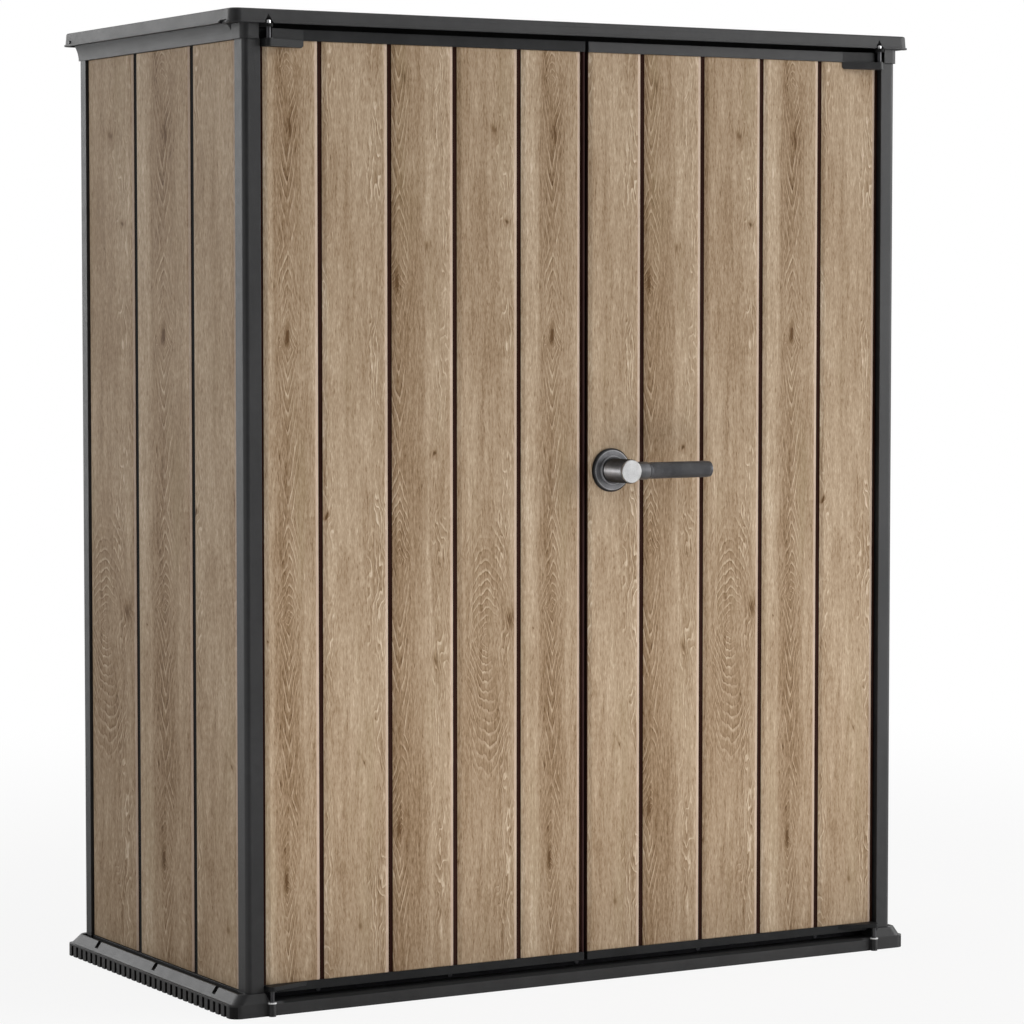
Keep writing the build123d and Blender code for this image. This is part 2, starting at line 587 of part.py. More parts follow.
keep(side_fascia(-1), "left_fascia")
keep(side_fascia(1), "right_fascia")

with BuildPart() as rear_fascia:
    with BuildSketch(Plane.YZ):
        with BuildLine():
            cove_section(FASCIA_IN_Y, REAR_Y)
        make_face()
    extrude(amount=FASCIA_IN_X, both=True)
    slab((-rear_start, rear_start), (FASCIA_IN_Y, FASCIA_IN_Y + LIP_T), (EAVES_Z - LIP_DROP, EAVES_Z))
keep(rear_fascia.part, "rear_fascia")


def corner_bracket(side):
    """Sleeve over a front post, with a peg in the post and an arm that holds the upper pin."""
    with BuildPart() as bracket:
        sleeve_x = across(side, POST_IN + CAP_STEP, POST_OUT + CAP_OUT)
        slab(sleeve_x, (FRONT_Y - CAP_OUT, FRONT_POST_BACK + CAP_OUT), (EAVES_Z, SEAT_Z))
        corner = bracket.edges().filter_by(Axis.Z).sort_by_distance(
            (side * (POST_OUT + CAP_OUT), FRONT_Y - CAP_OUT, EAVES_Z))[0]
        fillet(corner, POST_R + CAP_OUT)
        slab(spigot_x(side), spigot_y(True), (EAVES_Z - SPIGOT_H, EAVES_Z))
        with BuildSketch(Plane.XY.offset(ARM_Z)):
            with Locations((side * HINGE_X, HINGE_Y)):
                Circle(EAR_R)
            with Locations((side * (POST_IN + CAP_STEP + ARM_ROOT / 2), FRONT_Y + ARM_ROOT_D / 2)):
                Rectangle(ARM_ROOT, ARM_ROOT_D)
            make_hull()
        extrude(amount=ARM_T)
        rod(PIN_R + BUSH_FIT, (side * HINGE_X, HINGE_Y, ARM_Z), ARM_T, (0, 0, 1), Mode.SUBTRACT)
    return bracket.part


keep(corner_bracket(-1), "left_corner_bracket")
keep(corner_bracket(1), "right_corner_bracket")

with BuildPart() as header_beam:
    slab((-FASCIA_IN_X, FASCIA_IN_X), (STOP_Y, STOP_Y + HEADER_D), (HEADER_Z, SEAT_Z))
keep(header_beam.part, "header_beam")

with BuildPart() as upper_stop_rail:
    slab((-DOOR_EDGE_X, DOOR_EDGE_X), (STOP_Y, STOP_Y + STOP_T), (STOP_Z, HEADER_Z))
keep(upper_stop_rail.part, "upper_stop_rail")

with BuildPart() as threshold_strip:
    strip_x = POST_IN - FOOT_LEAN - WALL_GAP
    slab((-strip_x, strip_x), (STOP_Y, STOP_Y + STOP_T), (THRESHOLD_FOOT_Z, THRESHOLD_TOP_Z))
    drill(THRESHOLD_SPOTS, (0, 1, 0), SCREW_L)
keep(threshold_strip.part, "threshold_strip")


def screws(spots, inward):
    """A set of pan-head screws: each head sits outside its spot, each shank goes inward."""
    outward = tuple(-step for step in inward)
    with BuildPart() as made:
        for spot in spots:
            rod(SCREW_R, spot, SCREW_L, inward)
            rod(SCREW_HEAD_R, spot, SCREW_HEAD_T, outward)
    return made.part


keep(screws(THRESHOLD_SPOTS, (0, 1, 0)), "threshold_screws")
keep(screws(PLATE_SPOTS, (0, -1, 0)), "handle_plate_screws")
keep(screws(STRIKE_SPOTS, (0, -1, 0)), "strike_screws")
keep(screws(GUIDE_SPOTS, (0, -1, 0)), "bolt_guide_screws")

# Roof: a shallow crown, a drafted lip with a drip bead, scallops over the hinge pins, and
# notches for the side clips.
roof_front = FRONT_Y - ROOF_FRONT
roof_w = 2 * (POST_OUT + ROOF_SIDE)
roof_d = REAR_Y + ROOF_REAR - roof_front
roof_y = roof_front + roof_d / 2
with BuildPart() as roof_panel:
    with BuildSketch(Plane.XY.offset(ROOF_LIP_Z)):
        with Locations((0, roof_y)):
            RectangleRounded(roof_w + 2 * ROOF_DRAFT, roof_d + 2 * ROOF_DRAFT, ROOF_R + ROOF_DRAFT)
    with BuildSketch(Plane.XY.offset(ROOF_TOP_Z)):
        with Locations((0, roof_y)):
            RectangleRounded(roof_w, roof_d, ROOF_R)
    loft()
    fillet(roof_panel.faces().sort_by(Axis.Z)[-1].edges(), ROOF_EDGE_R)
    with BuildSketch(Plane.XY.offset(ROOF_TOP_Z)):
        with Locations((0, roof_y)):
            Rectangle(roof_w - 2 * ROOF_RIM, roof_d - 2 * ROOF_RIM)
    with BuildSketch(Plane.XY.offset(ROOF_TOP_Z + ROOF_CROWN)):
        with Locations((0, roof_y)):
            Rectangle(roof_w - 2 * ROOF_CROWN_IN, roof_d - 2 * ROOF_CROWN_IN)
    loft()
    with BuildSketch(Plane.XY.offset(ROOF_LIP_Z)):
        bead = 2 * (ROOF_DRAFT + ROOF_BEAD)
        with Locations((0, roof_y)):
            RectangleRounded(roof_w + bead, roof_d + bead, ROOF_R + bead / 2)
    extrude(amount=ROOF_BEAD_H)
    with BuildSketch(Plane.XY.offset(ROOF_LIP_Z)):
        with Locations((0, roof_y)):
            RectangleRounded(roof_w - 2 * ROOF_LIP_T, roof_d - 2 * ROOF_LIP_T, ROOF_R - ROOF_LIP_T)
    extrude(amount=SEAT_Z - ROOF_LIP_Z, mode=Mode.SUBTRACT)
    for side in (-1, 1):
        with Locations((side * HINGE_X, HINGE_Y, ROOF_LIP_Z)):
            Cone(PIN_R + SCALLOP_GAP, 0, SCALLOP_H, align=(Align.CENTER, Align.CENTER, Align.MIN),
                 mode=Mode.SUBTRACT)
        lip_x = across(side, POST_OUT + COVE_OUT, POST_OUT + ROOF_SIDE + bead)
        slab(lip_x, (CLIP_Y - CLIP_L / 2, CLIP_Y + CLIP_L / 2), (ROOF_LIP_Z, ROOF_LIP_Z + CLIP_H),
             Mode.SUBTRACT)
        rod(SCREW_R + BUSH_FIT, (side * (POST_OUT + 2 * ROOF_SIDE), ROOF_SCREW_Y, ROOF_SCREW_Z),
            2 * ROOF_SIDE, (-side, 0, 0), Mode.SUBTRACT)
keep(roof_panel.part, "roof_panel")

with BuildPart() as roof_clips:
    for side in (-1, 1):
        slab(across(side, POST_OUT + CAP_OUT, POST_OUT + ROOF_SIDE - CLIP_SET),
             (CLIP_Y - CLIP_L / 2 + SLIDE_FIT, CLIP_Y + CLIP_L / 2 - SLIDE_FIT),
             (ROOF_LIP_Z - SLIDE_FIT, ROOF_LIP_Z + CLIP_H - SLIDE_FIT))
keep(roof_clips.part, "roof_clips")

with BuildPart() as roof_screws:
    for side in (-1, 1):
        head_x = POST_OUT + ROOF_SIDE + ROOF_DRAFT
        rod(SCREW_R, (side * head_x, ROOF_SCREW_Y, ROOF_SCREW_Z), ROOF_SCREW_L, (-side, 0, 0))
        rod(SCREW_R + ROOF_SCREW_OVER, (side * head_x, ROOF_SCREW_Y, ROOF_SCREW_Z), SCREW_HEAD_T,
            (side, 0, 0))
keep(roof_screws.part, "roof_screws")


def upper_hinge_ear(side):
    """Plate under the upper pin, reaching forward from the top rail to the hinge axis."""
    with BuildSketch(Plane.XY.offset(UPPER_EAR_Z)) as plate:
        with Locations((side * HINGE_X, HINGE_Y)):
            Circle(EAR_R)
        with Locations((side * (EAR_INNER_X + DOOR_EDGE_X) / 2, DOOR_FACE_Y - RAIL_PROUD / 2)):
            Rectangle(DOOR_EDGE_X - EAR_INNER_X, RAIL_PROUD)
        make_hull()
    extrude(plate.sketch, amount=UPPER_EAR_TOP - UPPER_EAR_Z)
    with BuildSketch(Plane.XY.offset(UPPER_EAR_Z)) as wedge:
        with BuildLine():
            Polyline((side * EAR_INNER_X, RAIL_Y), (side * RECESS_X, RAIL_Y - HINGE_OUT),
                     (side * RECESS_X, RAIL_Y), close=True)
        make_face()
    extrude(wedge.sketch, amount=DOOR_TOP_Z - UPPER_EAR_Z)


def lower_hinge_ear(side):
    """Thin plate over the lower pin, in the bottom rail's upper half."""
    with BuildSketch(Plane.XY.offset(LOWER_EAR_Z)) as plate:
        with Locations((side * HINGE_X, HINGE_Y)):
            Circle(EAR_R)
        with Locations((side * (EAR_INNER_X + DOOR_EDGE_X) / 2, DOOR_FACE_Y - RAIL_PROUD / 2)):
            Rectangle(DOOR_EDGE_X - EAR_INNER_X, RAIL_PROUD)
        make_hull()
    extrude(plate.sketch, amount=BOARD_FOOT_Z - LOWER_EAR_Z)


def door_rail(side, free_x, z, ear, recess_z, bore_z, bore):
    """A door's top or bottom rail, with its hinge ear, corner recess and bush bore."""
    with BuildPart() as rail:
        slab(tuple(sorted((free_x, side * DOOR_EDGE_X))), (RAIL_Y, DOOR_IN_Y), z)
        slab(across(side, RECESS_X, DOOR_EDGE_X + CUT_OVER), (RAIL_Y - CUT_OVER, DOOR_FACE_Y + RECESS_D),
             recess_z, Mode.SUBTRACT)
        ear(side)
        rod(BUSH_R + BUSH_FIT, (side * HINGE_X, HINGE_Y, bore_z), abs(bore), (0, 0, bore), Mode.SUBTRACT)
    return rail.part


def top_rail(side, free_x):
    """Top rail, with its ear's inner corner rounded."""
    plain = door_rail(side, free_x, (BOARD_TOP_Z, DOOR_TOP_Z), upper_hinge_ear,
                      (UPPER_EAR_TOP, DOOR_TOP_Z + CUT_OVER), UPPER_EAR_TOP, -UPPER_BUSH_H)
    with BuildPart() as rail:
        add(plain)
        corner = rail.edges().filter_by(Axis.Y).sort_by_distance((side * EAR_INNER_X, RAIL_Y, UPPER_EAR_Z))[0]
        fillet(corner, EAR_CORNER_R)
    return rail.part


def bottom_rail(side, free_x):
    """Bottom rail, cut away under its ear for the floor's barrel and washer."""
    return door_rail(side, free_x, (DOOR_FOOT_Z, BOARD_FOOT_Z), lower_hinge_ear,
                     (DOOR_FOOT_Z - CUT_OVER, LOWER_EAR_Z), LOWER_EAR_Z, LOWER_BUSH_H)


def hinge_bushes(side):
    """Flanged bushes in the two ears of one door."""
    with BuildPart() as bushes:
        for ear_z, way, depth in ((UPPER_EAR_TOP, -1, UPPER_BUSH_H), (LOWER_EAR_Z, 1, LOWER_BUSH_H)):
            rod(BUSH_R, (side * HINGE_X, HINGE_Y, ear_z), depth - SLIDE_FIT, (0, 0, way))
            rod(BUSH_R + BUSH_FLANGE, (side * HINGE_X, HINGE_Y, ear_z), BUSH_FLANGE_T, (0, 0, -way))
            rod(PIN_R + PIN_FIT, (side * HINGE_X, HINGE_Y, ear_z - way * BUSH_FLANGE_T),
                2 * depth, (0, 0, way), Mode.SUBTRACT)
    return bushes.part


def hinge_pins(side):
    """Upper pin, held by the corner bracket, and lower pin, held by the floor's barrel."""
    upper_foot = UPPER_EAR_Z + 2 * PIN_END_GAP
    lower_top = BOARD_FOOT_Z - PIN_END_GAP
    with BuildPart() as pins:
        rod(PIN_R, (side * HINGE_X, HINGE_Y, upper_foot), UPPER_PIN_TOP - upper_foot, (0, 0, 1))
        rod(PIN_R, (side * HINGE_X, HINGE_Y, PIN_END_GAP), lower_top - PIN_END_GAP, (0, 0, 1))
        chamfer(pins.edges().filter_by(GeomType.CIRCLE), PIN_EASE)
    return pins.part


for side, hand, free_x in ((-1, "left", LEFT_FREE_X), (1, "right", RIGHT_FREE_X)):
    keep(top_rail(side, free_x), f"{hand}_door_top_rail")
    keep(bottom_rail(side, free_x), f"{hand}_door_bottom_rail")
    keep(hinge_bushes(side), f"{hand}_hinge_bushes")
    keep(hinge_pins(side), f"{hand}_hinge_pins")

with BuildPart() as hinge_washers:
    for side in (-1, 1):
        rod(PIN_R + WASHER_RIM, (side * HINGE_X, HINGE_Y, BARREL_TOP), WASHER_T, (0, 0, 1))
        rod(PIN_R + BUSH_FIT, (side * HINGE_X, HINGE_Y, BARREL_TOP), WASHER_T, (0, 0, 1), Mode.SUBTRACT)
keep(hinge_washers.part, "hinge_washers")


def inner_skin(free_x, side, screw_spots):
    """Flat sheet that closes the back of a door, drilled for what is screwed to it."""
    with BuildPart() as skin:
        slab(tuple(sorted((free_x, side * DOOR_EDGE_X))), (DOOR_RIB_Y, DOOR_IN_Y),
             (BOARD_FOOT_Z, BOARD_TOP_Z))
        drill(screw_spots, (0, -1, 0), SCREW_L)
    return skin.part


def spindle_bore(piece, label):
    """Bore a door layer for the handle's spindle."""
    with BuildPart() as bored:
        add(piece)
        rod(BORE_R, (HUB_X, NECK_Y, HUB_Z), 2 * NECK_FRONT, (0, 1, 0), Mode.SUBTRACT)
    keep(bored.part, label)


# Left door: boards, ribbed panel, inner skin, the trim of its free edge
board_z = (BOARD_FOOT_Z, BOARD_TOP_Z)
left_ends = (LEFT_FREE_X - FREE_MARGIN, LEFT_BOARDS, HINGE_MARGIN - DOOR_EDGE_X)
keep(boards(DOOR_WALL, board_spans(*left_ends), *board_z), "left_door_boards")
keep(ribbed_panel(DOOR_WALL, (-DOOR_EDGE_X, LEFT_FREE_X), board_z, seams(*left_ends)), "left_door_panel")
keep(inner_skin(LEFT_FREE_X, -1, STRIKE_SPOTS + GUIDE_SPOTS), "left_door_inner_skin")

with BuildPart() as meeting_strip:
    slab((LEFT_FREE_X - MEETING_W, LEFT_FREE_X), (DOOR_FACE_Y - MEETING_PROUD, DOOR_CORE_Y), board_z)
keep(meeting_strip.part, "meeting_strip")

# Right door: the same layers, bored for the handle
right_ends = (RIGHT_FREE_X + RIGHT_FREE_MARGIN, RIGHT_BOARDS, DOOR_EDGE_X - HINGE_MARGIN)
spindle_bore(boards(DOOR_WALL, board_spans(*right_ends), *board_z), "right_door_boards")
right_ribs = seams(*right_ends)
spindle_bore(ribbed_panel(DOOR_WALL, (RIGHT_FREE_X, DOOR_EDGE_X), board_z, right_ribs), "right_door_panel")
spindle_bore(inner_skin(RIGHT_FREE_X, 1, PLATE_SPOTS), "right_door_inner_skin")

# Lever handle: the rose is fixed to the door; neck, cap, collar, grip, spindle and latch turn.
with BuildPart() as handle_rose:
    rod(ROSE_R, (HUB_X, DOOR_FACE_Y, HUB_Z), ROSE_T, (0, -1, 0))
    chamfer(handle_rose.edges().filter_by(GeomType.CIRCLE).sort_by(Axis.Y)[0], ROSE_BEVEL)
    rod(NECK_R + RING_OUT, (HUB_X, DOOR_FACE_Y, HUB_Z), ROSE_T + RING_T, (0, -1, 0))
    chamfer(handle_rose.edges().filter_by(GeomType.CIRCLE).sort_by(Axis.Y)[0], HANDLE_EASE)
    rod(BORE_R, (HUB_X, DOOR_FACE_Y, HUB_Z), ROSE_T + RING_T, (0, -1, 0), Mode.SUBTRACT)
keep(handle_rose.part, "handle_rose")

spindle_half = SPINDLE_W / 2 + BUSH_FIT
with BuildPart() as handle_neck:
    rod(NECK_R, (HUB_X, NECK_BACK_Y, HUB_Z), NECK_BACK_Y - NECK_Y, (0, -1, 0))
    fillet(handle_neck.edges().filter_by(GeomType.CIRCLE).sort_by(Axis.Y)[0], HANDLE_EASE)
    rod(COLLAR_R + BUSH_FIT, (HUB_X + COLLAR_START, LEVER_Y, HUB_Z), COLLAR_END, (1, 0, 0), Mode.SUBTRACT)
    slab((HUB_X - spindle_half, HUB_X + spindle_half), (NECK_BACK_Y - SPINDLE_SOCKET, NECK_BACK_Y),
         (HUB_Z - spindle_half, HUB_Z + spindle_half), Mode.SUBTRACT)
keep(handle_neck.part, "handle_neck")

with BuildPart() as handle_cap:
    rod(CAP_R, (HUB_X, NECK_Y, HUB_Z), CAP_T, (0, -1, 0))
    chamfer(handle_cap.edges().filter_by(GeomType.CIRCLE).sort_by(Axis.Y)[0], HANDLE_EASE)
keep(handle_cap.part, "handle_cap")

with BuildPart() as lever_collar:
    rod(COLLAR_R, (HUB_X + COLLAR_START, LEVER_Y, HUB_Z), COLLAR_L, (1, 0, 0))
    chamfer(lever_collar.edges().filter_by(GeomType.CIRCLE).sort_by(Axis.X)[-1], COLLAR_STEP)
keep(lever_collar.part, "lever_collar")

with BuildPart() as lever_grip:
    rod(GRIP_R, (HUB_X + COLLAR_END, LEVER_Y, HUB_Z), GRIP_L, (1, 0, 0))
    fillet(lever_grip.edges().filter_by(GeomType.CIRCLE).sort_by(Axis.X)[-1], GRIP_EASE)
keep(lever_grip.part, "lever_grip")

spindle_front = NECK_BACK_Y - SPINDLE_SOCKET + TURN_GAP
spindle_back = LATCH_Y + LATCH_T
with BuildPart() as handle_spindle:
    slab((HUB_X - SPINDLE_W / 2, HUB_X + SPINDLE_W / 2), (spindle_front, spindle_back),
         (HUB_Z - SPINDLE_W / 2, HUB_Z + SPINDLE_W / 2))
    drill([(HUB_X, spindle_back, HUB_Z)], (0, -1, 0), SCREW_L + PIN_END_GAP)
keep(handle_spindle.part, "handle_spindle")

with BuildPart() as latch_tongue:
    rod(LATCH_HUB_R, (HUB_X, LATCH_Y, HUB_Z), LATCH_T, (0, 1, 0))
    slab((HUB_X - LATCH_W / 2, HUB_X + LATCH_W / 2), (LATCH_Y, LATCH_Y + LATCH_T),
         (HUB_Z - LATCH_REACH, HUB_Z))
    foot_edges = latch_tongue.edges().filter_by(Axis.Y).sort_by(Axis.Z)[:2]
    fillet(foot_edges, LATCH_W / 3)
    slab((HUB_X - spindle_half, HUB_X + spindle_half), (LATCH_Y, LATCH_Y + LATCH_T),
         (HUB_Z - spindle_half, HUB_Z + spindle_half), Mode.SUBTRACT)
keep(latch_tongue.part, "latch_tongue")

with BuildPart() as latch_screw:
    rod(SCREW_R, (HUB_X, spindle_back, HUB_Z), SCREW_L, (0, -1, 0))
    rod(LATCH_HUB_R - LATCH_WASHER_IN, (HUB_X, spindle_back, HUB_Z), WASHER_T, (0, 1, 0))
    rod(SCREW_HEAD_R, (HUB_X, spindle_back, HUB_Z), WASHER_T + SCREW_HEAD_T, (0, 1, 0))
keep(latch_screw.part, "latch_screw")

with BuildPart() as handle_inner_plate:
    rod(PLATE_R, (HUB_X, DOOR_IN_Y, HUB_Z), PLATE_T, (0, 1, 0))
    rod(BORE_R, (HUB_X, DOOR_IN_Y, HUB_Z), PLATE_T, (0, 1, 0), Mode.SUBTRACT)
    drill(PLATE_SPOTS, (0, -1, 0), SCREW_L)
keep(handle_inner_plate.part, "handle_inner_plate")

strike_x = (LEFT_FREE_X - STRIKE_EDGE - STRIKE_W, LEFT_FREE_X - STRIKE_EDGE)
with BuildPart() as strike_plate:
    slab(strike_x, (DOOR_IN_Y, DOOR_IN_Y + STRIKE_T), (HUB_Z - STRIKE_H / 2, HUB_Z + STRIKE_H / 2))
    drill(STRIKE_SPOTS, (0, -1, 0), SCREW_L)
keep(strike_plate.part, "strike_plate")


def door_bolt(tip_z, way):
    """A flat bolt whose tip points up (+1) or down (-1), with a round knob near its other end."""
    end_z = tip_z - way * BOLT_L
    with BuildPart() as bolt:
        slab((BOLT_X - BOLT_W / 2, BOLT_X + BOLT_W / 2), (BOLT_Y, BOLT_Y + BOLT_T),
             tuple(sorted((tip_z, end_z))))
        rod(KNOB_R, (BOLT_X, BOLT_Y + BOLT_T, end_z + way * KNOB_FROM_END), KNOB_L, (0, 1, 0))
        fillet(bolt.edges().filter_by(GeomType.CIRCLE).sort_by(Axis.Y)[-1], KNOB_EASE)
    return bolt.part


def bolt_guide(tip_z, way):
    """The box that a bolt slides in, with two screwed ears on the door's inner skin."""
    top = tip_z - way * GUIDE_END
    height = tuple(sorted((top, top - way * GUIDE_L)))
    half = BOLT_W / 2 + SLIDE_FIT
    with BuildPart() as guide:
        slab((BOLT_X - GUIDE_HALF, BOLT_X + GUIDE_HALF),
             (DOOR_IN_Y, BOLT_Y + BOLT_T + SLIDE_FIT + GUIDE_WALL), height)
        ear = GUIDE_HALF + GUIDE_EAR
        slab((BOLT_X - ear, BOLT_X + ear), (DOOR_IN_Y, DOOR_IN_Y + GUIDE_EAR_T), height)
        slab((BOLT_X - half, BOLT_X + half), (BOLT_Y - SLIDE_FIT, BOLT_Y + BOLT_T + SLIDE_FIT), height,
             Mode.SUBTRACT)
        drill(GUIDE_SPOTS, (0, -1, 0), SCREW_L)
    return guide.part


for name, tip_z, way in (("top", TOP_TIP_Z, 1), ("bottom", BOTTOM_TIP_Z, -1)):
    keep(door_bolt(tip_z, way), f"{name}_bolt")
    keep(bolt_guide(tip_z, way), f"{name}_bolt_guide")
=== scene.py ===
# %% [markdown]
# # Dressing a tall two-door storage shed
# The shed's solids come from a CAD model: floor, posts, walls, doors, roof, hinges, bolts and a lever
# handle. This lesson loads them as a fixed frame and gives each one the finish of the real thing. Where the
# plain solid lacks detail, such as the wood-look boards and the knurled grip, a finer piece is modelled in
# its place.

# %% Load the shed's solids
import math
from collections import namedtuple

import bmesh
import bpy
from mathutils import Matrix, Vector


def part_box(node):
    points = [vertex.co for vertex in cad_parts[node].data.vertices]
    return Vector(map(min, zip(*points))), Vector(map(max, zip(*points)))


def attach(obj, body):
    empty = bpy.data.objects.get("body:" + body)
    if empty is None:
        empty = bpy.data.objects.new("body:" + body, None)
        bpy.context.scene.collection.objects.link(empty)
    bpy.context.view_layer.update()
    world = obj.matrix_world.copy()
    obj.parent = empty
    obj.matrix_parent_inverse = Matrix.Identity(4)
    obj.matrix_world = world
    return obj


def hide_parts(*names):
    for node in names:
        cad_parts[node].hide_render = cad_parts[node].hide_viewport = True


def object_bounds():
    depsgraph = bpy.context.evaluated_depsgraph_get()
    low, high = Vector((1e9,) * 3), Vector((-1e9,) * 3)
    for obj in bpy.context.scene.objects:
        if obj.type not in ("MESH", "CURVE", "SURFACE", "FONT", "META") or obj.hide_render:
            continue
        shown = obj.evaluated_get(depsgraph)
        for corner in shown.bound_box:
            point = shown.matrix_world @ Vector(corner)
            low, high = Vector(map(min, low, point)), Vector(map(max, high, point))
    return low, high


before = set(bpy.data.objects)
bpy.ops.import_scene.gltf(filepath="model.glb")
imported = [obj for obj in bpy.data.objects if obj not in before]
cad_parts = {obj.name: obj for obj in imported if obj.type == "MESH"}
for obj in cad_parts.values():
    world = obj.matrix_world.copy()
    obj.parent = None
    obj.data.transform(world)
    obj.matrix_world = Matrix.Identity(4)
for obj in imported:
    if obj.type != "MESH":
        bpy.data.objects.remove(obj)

cad_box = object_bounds()
print("the solids reach from", [round(x, 3) for x in cad_box[0]], "to", [round(x, 3) for x in cad_box[1]])

# %% [markdown]
# ## The camera
# A product picture of a shed is taken from far away with a long lens, so that its upright edges stay nearly
# parallel. The angle was found by fitting the corners of the floor and the roof: a little to the left of
# the front, at chest height, looking slightly down.

# %% Set up the camera
YAW, PITCH = math.radians(29.92), math.radians(3.3816)
CAMERA_PLACE = (-3.3175, -5.8551, 1.2218)
SENSOR_MM, LENS_MM = 36, 127.15

forward = Vector((math.sin(YAW) * math.cos(PITCH), math.cos(YAW) * math.cos(PITCH), -math.sin(PITCH)))
turn = forward.to_track_quat("-Z", "Y").to_euler()
bpy.ops.object.camera_add(location=CAMERA_PLACE, rotation=turn)
camera = bpy.context.active_object
camera.data.sensor_width = SENSOR_MM
camera.data.lens = LENS_MM
bpy.context.scene.camera = camera
print("camera stands", round(camera.location.length, 2), "m from the middle of the floor")

# %% [markdown]
# ## Shader sums
# A procedural finish is mostly arithmetic on noise. Wiring Math nodes by hand is slow to read, so this
# small class wraps a node's output and lets Python's own operators add the nodes: `1 - mask` makes a
# Subtract node. Every other kind of node comes from its `node` method, which sets the node's settings first
# and then fills its sockets.

# %% A wire that adds up like a number
class Wire:
    """One output of a shader node."""

    def __init__(self, tree, socket):
        self.tree = tree
        self.socket = socket

    def node(self, kind, settings, sockets, output=0):
        """Add a node with these settings and with a value or a wire in each named socket."""
        made = self.tree.nodes.new(kind)
        for name, value in settings.items():
            if name == "stops":
                set_stops(made.color_ramp, value)
            else:
                setattr(made, name, value)
        plug_in(made, sockets)
        return Wire(self.tree, made.outputs[output])

    def math(self, operation, *terms):
        return self.node("ShaderNodeMath", {"operation": operation}, dict(enumerate(terms)))

    def __add__(self, other):
        return self.math("ADD", self, other)

    def __radd__(self, other):
        return self.math("ADD", other, self)

    def __sub__(self, other):
        return self.math("SUBTRACT", self, other)

    def __rsub__(self, other):
        return self.math("SUBTRACT", other, self)

    def __mul__(self, other):
        return self.math("MULTIPLY", self, other)

    def __rmul__(self, other):
        return self.math("MULTIPLY", other, self)

    def __truediv__(self, other):
        return self.math("DIVIDE", self, other)

    def __pow__(self, other):
        return self.math("POWER", self, other)

    def __abs__(self):
        return self.math("ABSOLUTE", self)


def plug_in(node, sockets):
    """Set or link the named sockets of a node."""
    for name, value in sockets.items():
        if isinstance(value, Wire):
            value.tree.links.new(value.socket, node.inputs[name])
        else:
            node.inputs[name].default_value = value


def set_stops(ramp, stops):
    """Give a colour ramp its stops, a list of (position, colour)."""
    while len(ramp.elements) < len(stops):
        ramp.elements.new(0.5)
    for element, (position, colour) in zip(ramp.elements, stops):
        element.position = position
        element.color = colour


print("wires are ready")

# %% [markdown]
# ## Small helpers for finishes
# Colours are noted as they look on a screen, from 0 to 255, and Blender wants them linear, so `paint`
# converts them. Noise is read on Object coordinates, in metres, so that its scale is the number of spots in
# a metre. Machine-made edges are never quite sharp. A Bevel node rounds them in the shading alone, and
# leaves the solid as it is.

# %% Colour, noise and soft edges
def paint(red, green, blue):
    """A colour as seen on a screen, made linear."""
    tones = [c / 255 for c in (red, green, blue)]
    return tuple(c / 12.92 if c < 0.04045 else ((c + 0.055) / 1.055) ** 2.4 for c in tones) + (1.0,)


def shade(colour, times, plus=0.0):
    """A lighter or darker version of a colour."""
    return tuple(min(1.0, c * times + plus) for c in colour[:3]) + (1.0,)


def new_finish(name):
    """A new material, its shader, and a wire with the piece's own coordinates in metres."""
    finish = bpy.data.materials.new(name)
    finish.use_nodes = True
    tree = finish.node_tree
    place = Wire(tree, tree.nodes.new("ShaderNodeTexCoord").outputs["Object"])
    return finish, tree.nodes["Principled BSDF"], place


def coordinate(place, axis):
    """The X, Y or Z of a place."""
    return place.node("ShaderNodeSeparateXYZ", {}, {"Vector": place}, axis)


def cloud(place, per_metre, detail=2.0, stretch=(1, 1, 1)):
    """Soft noise around zero, from about -0.3 to 0.3."""
    at = place.node("ShaderNodeVectorMath", {"operation": "MULTIPLY"}, {0: place, 1: stretch})
    return at.node("ShaderNodeTexNoise", {}, {"Vector": at, "Scale": per_metre, "Detail": detail}) - 0.5


def step(value, low, high):
    """0 below low, 1 above high and smooth between."""
    ends = {"Value": value, "From Min": low, "From Max": high}
    return value.node("ShaderNodeMapRange", {"interpolation_type": "SMOOTHSTEP"}, ends)


def blend(factor, first, second):
    """Mix two colours."""
    return factor.node("ShaderNodeMix", {"data_type": "RGBA"}, {0: factor, 6: first, 7: second}, 2)


def rounded(place, radius):
    """A normal that looks rounded at sharp edges."""
    return place.node("ShaderNodeBevel", {"samples": 4}, {"Radius": radius})


def bumpy(height, depth, normal):
    """A normal with relief of this depth in metres."""
    return height.node("ShaderNodeBump", {}, {"Height": height, "Distance": depth, "Normal": normal})


print("helpers are ready")

# %% [markdown]
# ## Floor and light
# The shed stands on a plain white studio floor. Its material is part plain white paint, which takes the
# shed's shadow, and part glow that only the camera sees, so the floor looks white without lighting the
# shed. Near the shed a little more of the paint shows, and with it the shadow.

# %% Lay the floor
FLOOR_SIZE = 60
GLOW_NEAR, NEAR, FAR = 0.88, 1.2, 4.0

bpy.ops.object.select_all(action="DESELECT")
bpy.ops.mesh.primitive_plane_add(size=FLOOR_SIZE, location=(0, 0, cad_box[0][2]))
floor = bpy.context.active_object
floor.name = "studio_floor"


def seen_directly(tree):
    """1 for rays from the camera, mirrors and glass, and 0 for light that falls on things."""
    path = tree.nodes.new("ShaderNodeLightPath").outputs
    seen = Wire(tree, path["Is Camera Ray"])
    for name in ("Is Glossy Ray", "Is Transmission Ray"):
        seen = seen.math("MAXIMUM", seen, Wire(tree, path[name]))
    return seen


def seen_in_mirror(tree):
    """1 for rays that a shiny surface has thrown back."""
    return Wire(tree, tree.nodes.new("ShaderNodeLightPath").outputs["Is Glossy Ray"])


